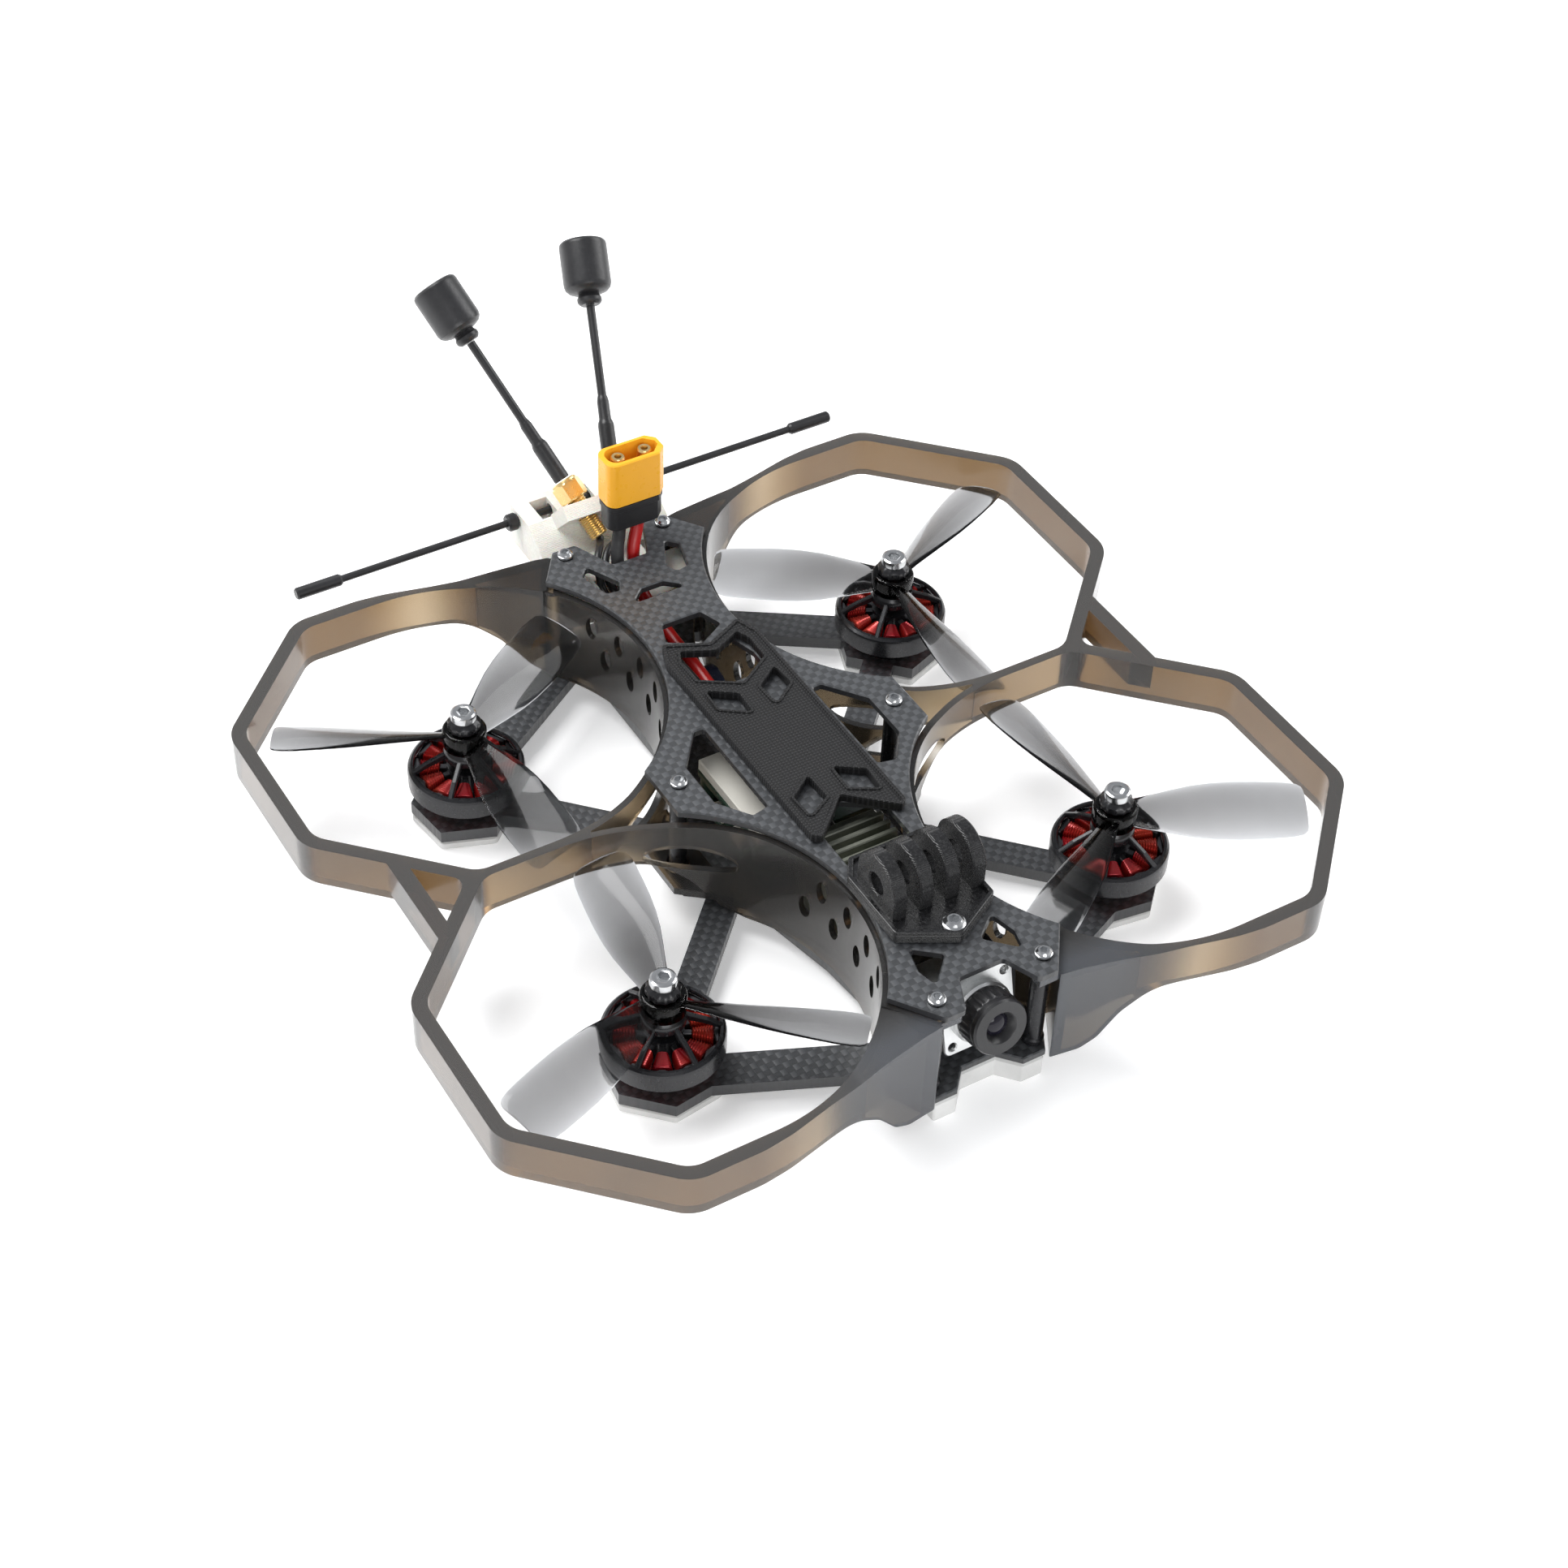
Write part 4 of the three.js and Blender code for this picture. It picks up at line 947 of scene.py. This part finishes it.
def windings():
    """One coil on each tooth, with its turns of wire as ridges."""
    turns = 8
    inner, outer = 6.1, 10.9
    middle = (STATOR_LOW + STATOR_HIGH) / 2
    rings = []
    for i in range(2 * turns + 1):
        radius = inner + (outer - inner) * i / (2 * turns)
        swell = 0.14 if i % 2 else -0.1
        half_width = 0.7 + 0.25 * (radius - 4.2) + swell
        half_height = 2.5 + 0.1 * math.sin(PI * i / (2 * turns)) + swell
        ring = []
        for j in range(16):
            angle = 2 * PI * j / 16
            c, s = math.cos(angle), math.sin(angle)
            y = half_width * math.copysign(abs(c) ** 0.6, c)
            z = middle + half_height * math.copysign(abs(s) ** 0.6, s)
            ring.append(Vector((radius, y, z)))
        rings.append(ring)
    return repeated(loft(rings), STATOR_TEETH)


def motor_bell():
    can = turned([(12.7, 10.8), (13.3, 10.8), (13.8, 11.4), (13.8, 15.4), (13.55, 16.1), (13.0, 16.6),
                  (12.4, 16.6), (12.2, 16.2), (12.7, 15.8)], 72, closed=True)
    crown = turned([(4.6, 18.6), (5.1, 19.2), (5.2, 20.6), (4.9, 21.4), (4.3, 22.15), (2.4, 22.15),
                    (2.4, 30.9), (2.1, 31.2)], 40)
    side = rounded([(3, 19), (4.6, 19), (8.5, 17.6), (12.4, 15.6), (13.2, 15.6), (13.25, 16.4), (9.6, 18.8),
                    (5, 20.9), (3, 20.9)], 0.5)
    spoke = plate(side, (), -0.6, 0.6, 0.25).moved(TO_XZ)
    return Shape().add(can, crown, repeated(spoke, SPOKES, 15))


def magnets():
    return repeated(box(12.25, 12.75, -2.2, 2.2, 11.4, 15.5, 0.1, 0.1), MAGNETS)


# How far out each section of a blade is, its chord, and its pitch in degrees.
BLADE = [(3.2, 6.2, 36), (6, 7.2, 35), (9, 8.5, 33), (13, 10.4, 31), (18, 12.5, 29), (23, 13.8, 26.5),
         (28, 14.4, 24), (33, 14.5, 21.5), (38, 14.4, 19), (41, 14.0, 18), (43, 13.2, 17.2),
         (44, 11.8, 16.6), (44.35, 10, 16.2)]


def blade(turning):
    """A cambered blade along +x. Its leading edge is on the turning side and higher."""
    middle = 25
    rings = []
    for at, chord, pitch in BLADE:
        angle = math.radians(pitch)
        thick = 1.7 - 0.85 * min(at / PROP_RADIUS, 1) ** 0.7
        camber = 0.055 * chord
        ring = []
        for i in range(22):
            around = 2 * PI * i / 22
            along = math.cos(around) / 2
            arch = camber * (1 - 4 * along * along)
            up = arch - camber * 0.5 + thick / 2 * math.sin(around) * (0.75 + 0.35 * along)
            lead = chord * along * math.cos(angle) - up * math.sin(angle)
            rise = chord * along * math.sin(angle) + up * math.cos(angle)
            ring.append(Vector((at, turning * lead, middle + rise)))
        rings.append(ring)
    return loft(rings)


def propeller(turning):
    hub = turned([(2.7, 22.4), (4.8, 22.4), (5.2, 22.8), (5.2, 26.9), (4.9, 27.4), (4.4, 27.6), (2.7, 27.6)],
                 48, closed=True)
    steps = [("UNION", blade(turning).spun(360 / BLADES * i)) for i in range(BLADES)]
    steps.append(("DIFFERENCE", plate(disc(0, 0, 2.7, 48), (), 20, 30, 0)))
    return carved("propeller", hub, steps)


def lock_nut():
    """A bright cap nut: a collar with a hexagon socket in its top."""
    return ringed([(2.7, 30.4), (2.95, 30.4), (3.05, 30.7), (3.05, 31.7), (2.9, 32.25), (2.5, 32.5),
                   (1.9, 32.5), (1.6, 32.4, 6), (1.6, 31.25, 6)], 48)


def grip_washer():
    return ringed([(3.85, 27.85, 0, 0.2), (3.9, 28.1, 0, 0.2), (3.9, 29.4, 0, 0.2), (3.5, 29.9, 0, 0.15),
                   (2.8, 30.4), (2.7, 30.4), (2.7, 27.85)], 48, closed=True)


# Where each propeller stands at rest, in degrees, and which way it turns.
PROP_REST = {"front_left": (93, 1), "front_right": (80, -1), "rear_left": (27, -1), "rear_right": (32, 1)}


def add_motors():
    shapes = {"base": motor_base(), "stator": stator(), "windings": windings(), "bell": motor_bell(),
              "magnets": magnets(), "nut": lock_nut(), "washer": grip_washer()}
    meshes = {name: mesh_of(name, shape) for name, shape in shapes.items()}
    propellers = {turning: propeller(turning) for turning in (1, -1)}
    for corner, (sx, sy) in CORNERS.items():
        heading, turning = PROP_REST[corner]
        rotor = f"rotor_{corner}"
        at = (sx * MOTOR_X, sy * MOTOR_Y, 0)
        turn = turn_about(heading)
        piece(f"base_{corner}", meshes["base"], "black_metal", node=f"motor_base_{corner}", at=at)
        piece(f"stator_{corner}", meshes["stator"], "dark_steel", at=at)
        piece(f"windings_{corner}", meshes["windings"], "red_enamel", at=at, sharp=60)
        piece(f"bell_{corner}", meshes["bell"], "black_metal", rotor, f"motor_bell_{corner}", at, turn)
        piece(f"magnets_{corner}", meshes["magnets"], "steel", rotor, at=at)
        piece(f"prop_{corner}", propellers[turning], "smoked_prop", rotor,
              f"propeller_{corner}", at, turn, sharp=50)
        piece(f"nut_{corner}", meshes["nut"], "steel", rotor, f"prop_nut_{corner}", at, turn)
        piece(f"washer_{corner}", meshes["washer"], "black_metal", rotor, at=at, turn=turn)


# ---- front camera

CAMERA_PIVOT = (0, -72.3, 20.5)
CAMERA_TILT = turn_about(-14, "X")
CAMERA_HALF = 9.2


def camera_face():
    outline = rounded(square(CAMERA_HALF), 1.6)
    holes = [disc(sx * 7.1, sz * 7.1, 0.95) for sx in (1, -1) for sz in (1, -1)]
    face = plate(outline, [*holes, disc(0, 0, 5, 48)], 6.8, 8, 0.25)
    seat = turned([(7.4, 6), (7.4, 9.8), (6.9, 10.3)], 64)
    return Shape().add(face, seat).moved(FACING_NOSE)


def camera_housing():
    body = box(-8.8, 8.8, -7.2, 7.2, -5.5, 6.9, 0.6, 1.0)
    body.add(box(-8.95, 8.95, -5.6, 5.6, -2.6, 4.4, 0.3, 0.6))
    body.add(turned([(1.1, -10.4), (1.1, 10.4)], 24).moved(TO_YZ))
    return body.moved(FACING_NOSE)


def camera_barrel():
    barrel = ringed([(3.0, 10.55), (6.6, 10.55), (6.9, 10.9, 0, 0.22), (6.9, 14.4, 0, 0.22), (6.6, 14.8),
                     (6.75, 15.2), (6.75, 16.3), (6.4, 16.9), (3.9, 16.95), (3.5, 16.6), (2.9, 15.2),
                     (2.7, 14.9)], 96)
    return barrel.moved(FACING_NOSE)


def camera_glass():
    profile = [(2.75, 14.9), (2.7, 15.1), (2.2, 15.5), (1.4, 15.8), (0.6, 15.95), (AXIS, 15.97)]
    return turned(profile, 48).moved(FACING_NOSE)


def camera_screws():
    shape = Shape()
    for sx, sz in ((-1, 1), (1, -1)):
        shape.add(socket_screw(1.35, 0.6, 0.6, 0.7, 1.2).at(sx * 7.1, sz * 7.1, 8))
    return shape.moved(FACING_NOSE)


def bracket_side():
    outline = rounded([(-79, DECK), (-62, DECK), (-62, 20), (-66, 28), (-78, 28), (-79, 20)], 1.2)
    slot = rounded([(-68.5, 12), (-66, 12), (-65, 19), (-67.5, 19)], 0.9)
    return plate(outline, [disc(*CAMERA_PIVOT[1:], 1.4), slot], 9.45, 10.65, 0.25).moved(TO_YZ)


def add_front_camera():
    bracket = bracket_side()
    shape = Shape().add(bracket, bracket.moved(MIRROR_X), box(-10.2, 10.2, -66, -62, DECK, DECK + 1.5))
    piece("bracket", shape, "black_plastic", node="camera_bracket")
    parts = (
        ("camera_front", camera_face(), "camera_metal", "camera_body"),
        ("camera_case", camera_housing(), "camera_metal", None),
        ("camera_barrel", camera_barrel(), "black_plastic", "camera_lens"),
        ("camera_glass", camera_glass(), "lens_glass", None),
        ("camera_face_screws", camera_screws(), "dark_steel", None),
    )
    for name, shape, look, node in parts:
        piece(name, shape, look, "camera", node, CAMERA_PIVOT, CAMERA_TILT)


# ---- action camera mount


def add_action_mount():
    low, top = ROOF_TOP + GAP, ROOF_TOP + 2.7
    outline = rounded(both_halves([(0, -72), (-12.7, -65), (-12.7, -46), (-9.4, -41)]), 1.2)
    base = plate(outline, [disc(0, MOUNT_SCREW_Y, 1.6)], low, top, 0.3)
    rim = plate(outline, [inset(oriented(outline, True), 1.1)], top - 0.3, top + 0.9, 0.2)
    centre_y, centre_z, radius = -54, 42.5, 7.5
    side = [(centre_y - radius, top - 0.5), (centre_y + radius, top - 0.5),
            *arc(centre_y, centre_z, radius, 0, PI, 7.5)]
    finger = plate(side, [disc(centre_y, centre_z, 2.6, 32)], -1.7, 1.7, 0.35).moved(TO_YZ)
    shape = Shape().add(base, rim)
    for i in range(4):
        shape.add(finger.at(1 + (i - 1.5) * 6.7, 0, 0))
    piece("action_mount", shape, "black_print", node="action_camera_mount")
    piece("mount_screw", socket_screw(2.6, 1.7, 1.3), "steel", node="action_mount_screw",
          at=(0, MOUNT_SCREW_Y, 37.9))


# ---- electronics


def chips(half, height, seed, count, tall):
    """Small parts on a board, in fixed pseudo-random places that don't overlap."""
    draw = random.Random(seed)
    taken, shape = [], Shape()
    while len(taken) < count:
        w, d = draw.choice(((4, 4), (5, 3.4), (2, 1.2), (1.2, 2), (3, 3), (1.6, 1.6)))
        x, y = draw.uniform(w - half, half - w), draw.uniform(d - half, half - d)
        near = [abs(x - tx) < (w + tw) / 2 + 0.4 and abs(y - ty) < (d + td) / 2 + 0.4
                for tx, ty, tw, td in taken]
        if any(near) or (abs(x) > 9.5 and abs(y) > 9.5):
            continue
        taken.append((x, y, w, d))
        top = height + tall * draw.uniform(0.5, 1)
        shape.add(box(x - w / 2, x + w / 2, y - d / 2, y + d / 2, height, top, 0.1, 0.1))
    return shape


def board(half, stand, low, high):
    shape = plate(rounded(square(half), 2), [], low, high, 0.15)
    post = turned([(2.4, stand), (2.4, low + 0.3)], 24)
    return shape.add(*[post.at(x, y) for x in (12.75, -12.75) for y in (12.75, -12.75)])


def add_boards():
    boards = (("speed_controller", 16, DECK, 12.4, 14, 3), ("flight_controller", 15.5, 14.25, 20, 21.6, 8))
    for node, half, stand, low, high, seed in boards:
        piece(f"{node}_board", board(half, stand, low, high), "circuit_board", node=node)
        piece(f"{node}_chips", chips(half - 1, high - 0.1, seed, 16, 1.4), "chip_plastic")
        piece(f"{node}_parts", chips(half - 1, high - 0.1, seed + 40, 7, 0.9), "ceramic")
        sockets = Shape()
        for x, y in ((-half + 2.4, -4), (-half + 2.4, 5), (half - 2.4, 0)):
            sockets.add(box(x - 2, x + 2, y - 2.6, y + 2.6, high - 0.1, high + 2.6))
        piece(f"{node}_sockets", sockets, "white_socket")


def add_receiver():
    """A small radio receiver on foam tape beside the leads, and the flight controller's pale shield."""
    piece("receiver_tape", box(5.2, 10.4, 33.2, 41.8, DECK, 14), "white_foam")
    piece("receiver_board", box(5, 10.6, 33, 42, 14, 15.2, 0.1), "circuit_board")
    cans = box(5.6, 10, 33.8, 38, 15.1, 16.6, 0.2)
    for y in (39.2, 40.6):
        cans.add(box(6, 9.6, y, y + 0.8, 15.1, 15.9, 0.15, 0.15))
    piece("receiver_cans", cans, "gold")
    piece("controller_shield", box(-15.2, -8.2, -14, 14.5, 21.5, 24.6), "white_socket")


def add_video_transmitter():
    front, back, low, high = -45, -22, DECK, 28.5
    shape = box(-9.6, 9.6, front, back, low, high, 0.4, 0.8)
    y = front + 0.9
    while y < back - 2:
        shape.add(box(-9.4, 9.4, y, y + 1.3, high - 0.5, high + 2.2, 0.25, 0.3))
        y += 2.9
    piece("transmitter_case", shape, "heat_sink", node="video_transmitter")


def add_capacitor():
    can = turned([(4.4, -8.6), (4.9, -8.2), (4.9, -6.4), (4.6, -6.0), (4.6, -5.6), (4.9, -5.2),
                  (4.9, 8.2), (4.5, 8.6), (3.6, 8.6), (3.4, 8.3)], 48)
    piece("capacitor_can", can.moved(TO_YZ), "capacitor_sleeve", node="capacitor",
          at=(0, 46.2, DECK + 5))


# ---- battery plug

PLUG_X, PLUG_Y, PLUG_LOW, PLUG_HIGH = 4.3, 82, 48.6, 61.5


def plug_outline(grow):
    """Rounded at one end and chamfered at the other, about the plug's middle."""
    w, d = 7.9 + grow, 4.05 + grow
    points = [(-w, -d, 2.6), (w - 2.2, -d), (w, -d + 2.2), (w, d - 2.2), (w - 2.2, d), (-w, d, 2.6)]
    return rounded(points, 0.4)


def add_plug():
    at = (PLUG_X, PLUG_Y, 0)
    low, high = PLUG_LOW, PLUG_HIGH
    recess = plate(plug_outline(-1.1), (), high - 9, high + 1, 0)
    mesh = carved("plug_shell", plate(plug_outline(0), (), low, high, 0.3), [("DIFFERENCE", recess)])
    shell = piece("plug_shell", mesh, "yellow_nylon", node="plug_housing", at=at)
    pins = Shape()
    for x in (-3.6, 3.6):
        pin = turned([(1.75, high - 9.2), (1.75, high - 1), (1.5, high - 0.6),
                      (0.9, high - 0.6), (0.8, high - 0.9), (0.8, high - 3.6)], 36)
        pins.add(pin.at(x, 0.1, 0))
    contacts = piece("plug_pins", pins, "gold", at=at)
    low, high = PLUG_LOW - GAP - 7.4, PLUG_LOW - GAP
    boot_shape = plate(plug_outline(-0.4), (), low, high, 0.5)
    boot_shape.add(plate(plug_outline(-0.15), (), high - 1.6, high, 0.2))
    boot = piece("plug_cover", boot_shape, "black_plastic", node="plug_boot", at=at)
    return {"red": [shell, contacts], "black": [boot]}


# ---- antennas

ANTENNA_LINE = Vector((0.244, 0.709, 0.662)).normalized()
ANTENNA_BASE = (6.8, 101, 43)
MOUNT_MIDDLE = 2.1
MOUNT_HALF = 17.6


def hex_nut(corner_radius, low, high):
    """A hexagon nut with turned chamfers."""
    return ringed([(corner_radius * 0.86, low), (corner_radius, low + 0.35, 6),
                   (corner_radius, high - 0.35, 6), (corner_radius * 0.86, high)], 48)


def connector():
    shape = hex_nut(3.9, -5.7, -1.0)
    shape.add(turned([(3.3, -1.2), (3.3, -0.6), (2.9, -GAP)], 40))
    profile = [(2.1, -16.5)]
    s = -16.2
    while s < -6:
        profile += [(2.4, s), (2.15, s + 0.3)]
        s += 0.6
    return shape.add(turned([*profile, (2.3, -5.6)], 40))


def stem():
    return turned([(1.9, 0), (2.05, 0.3), (2.05, 9.6), (1.9, 10.4), (1.55, 11.2), (1.5, 15.8),
                   (1.3, 16.7), (1.1, 17.4), (1.1, 40)], 32)


def cap():
    return turned([(2.3, 40.2), (2.8, 40.6), (3.1, 41.1), (3.1, 41.9), (2.7, 42.5), (2.6, 42.9),
                   (3.6, 43.1), (4.9, 43.6), (5.7, 44.4), (6, 45.4), (6, 55.1), (5.85, 55.8), (5.4, 56.3),
                   (4.7, 56.55), (AXIS, 56.7)], 64)


def receiver_antenna():
    """A dipole lying across the mount, with a collar at each side and a sleeve at each tip."""
    reach = 75
    shape = turned([(0.9, -reach + 0.5), (0.9, reach - 0.5)], 24)
    for sx in (1, -1):
        collar = MOUNT_MIDDLE * sx + MOUNT_HALF + GAP
        profile = [(0.85, collar), (1.9, collar), (2.2, collar + 0.4), (2.2, collar + 2.2),
                   (1.8, collar + 2.7), (0.85, collar + 2.7)]
        sleeve = [(1.2, reach), (1.5, reach - 0.4), (1.5, reach - 11.4), (1.1, reach - 12)]
        half = turned(profile, 32, closed=True).add(turned(sleeve, 32))
        shape.add(half if sx > 0 else half.moved(Matrix.Scale(-1, 4, (0, 0, 1))))
    return shape.moved(TO_YZ)


def add_antennas():
    keep_node("antenna_mount", "white_tpu", 0.6)
    tray = rounded(both_halves([(10.4, 88.3), (10.4, 81), (17, 79.5), (17.5, 74), (9, 72)]), 0.8)
    wing = rounded([(8.6, 69), (15.2, 69), (17, 73), (18.2, 77), (16.5, 79.6), (8.6, 79.6)], 0.8)
    wing_shape = plate(wing, [], 27.4, 29.4)
    shape = plate(tray, [], 20.7, 23).add(wing_shape, wing_shape.moved(MIRROR_X))
    piece("mount_tray", shape, "white_tpu")
    parts = (("connector", mesh_of("connector", connector()), "gold"),
             ("stem", mesh_of("stem", stem()), "black_plastic"),
             ("cap", mesh_of("cap", cap()), "black_plastic"))
    for side, sx in SIDES.items():
        line = Vector((sx * ANTENNA_LINE.x, ANTENNA_LINE.y, ANTENNA_LINE.z))
        turn = Vector((0, 0, 1)).rotation_difference(line).to_matrix().to_4x4()
        at = (MOUNT_MIDDLE + sx * ANTENNA_BASE[0], ANTENNA_BASE[1], ANTENNA_BASE[2])
        for part, mesh, look in parts:
            piece(f"aerial_{part}_{side}", mesh, look, "airframe", f"antenna_{part}_{side}", at, turn)
    piece("receiver_dipole", receiver_antenna(), "black_plastic", node="receiver_antenna",
          at=(0, 105, 31.6))


# ---- everything

add_camera()
add_studio()
add_floor()
add_cords(add_plug())
add_plates()
add_battery_pad()
add_fasteners()
add_guards()
add_motors()
add_front_camera()
add_action_mount()
add_boards()
add_receiver()
add_video_transmitter()
add_capacitor()
add_antennas()
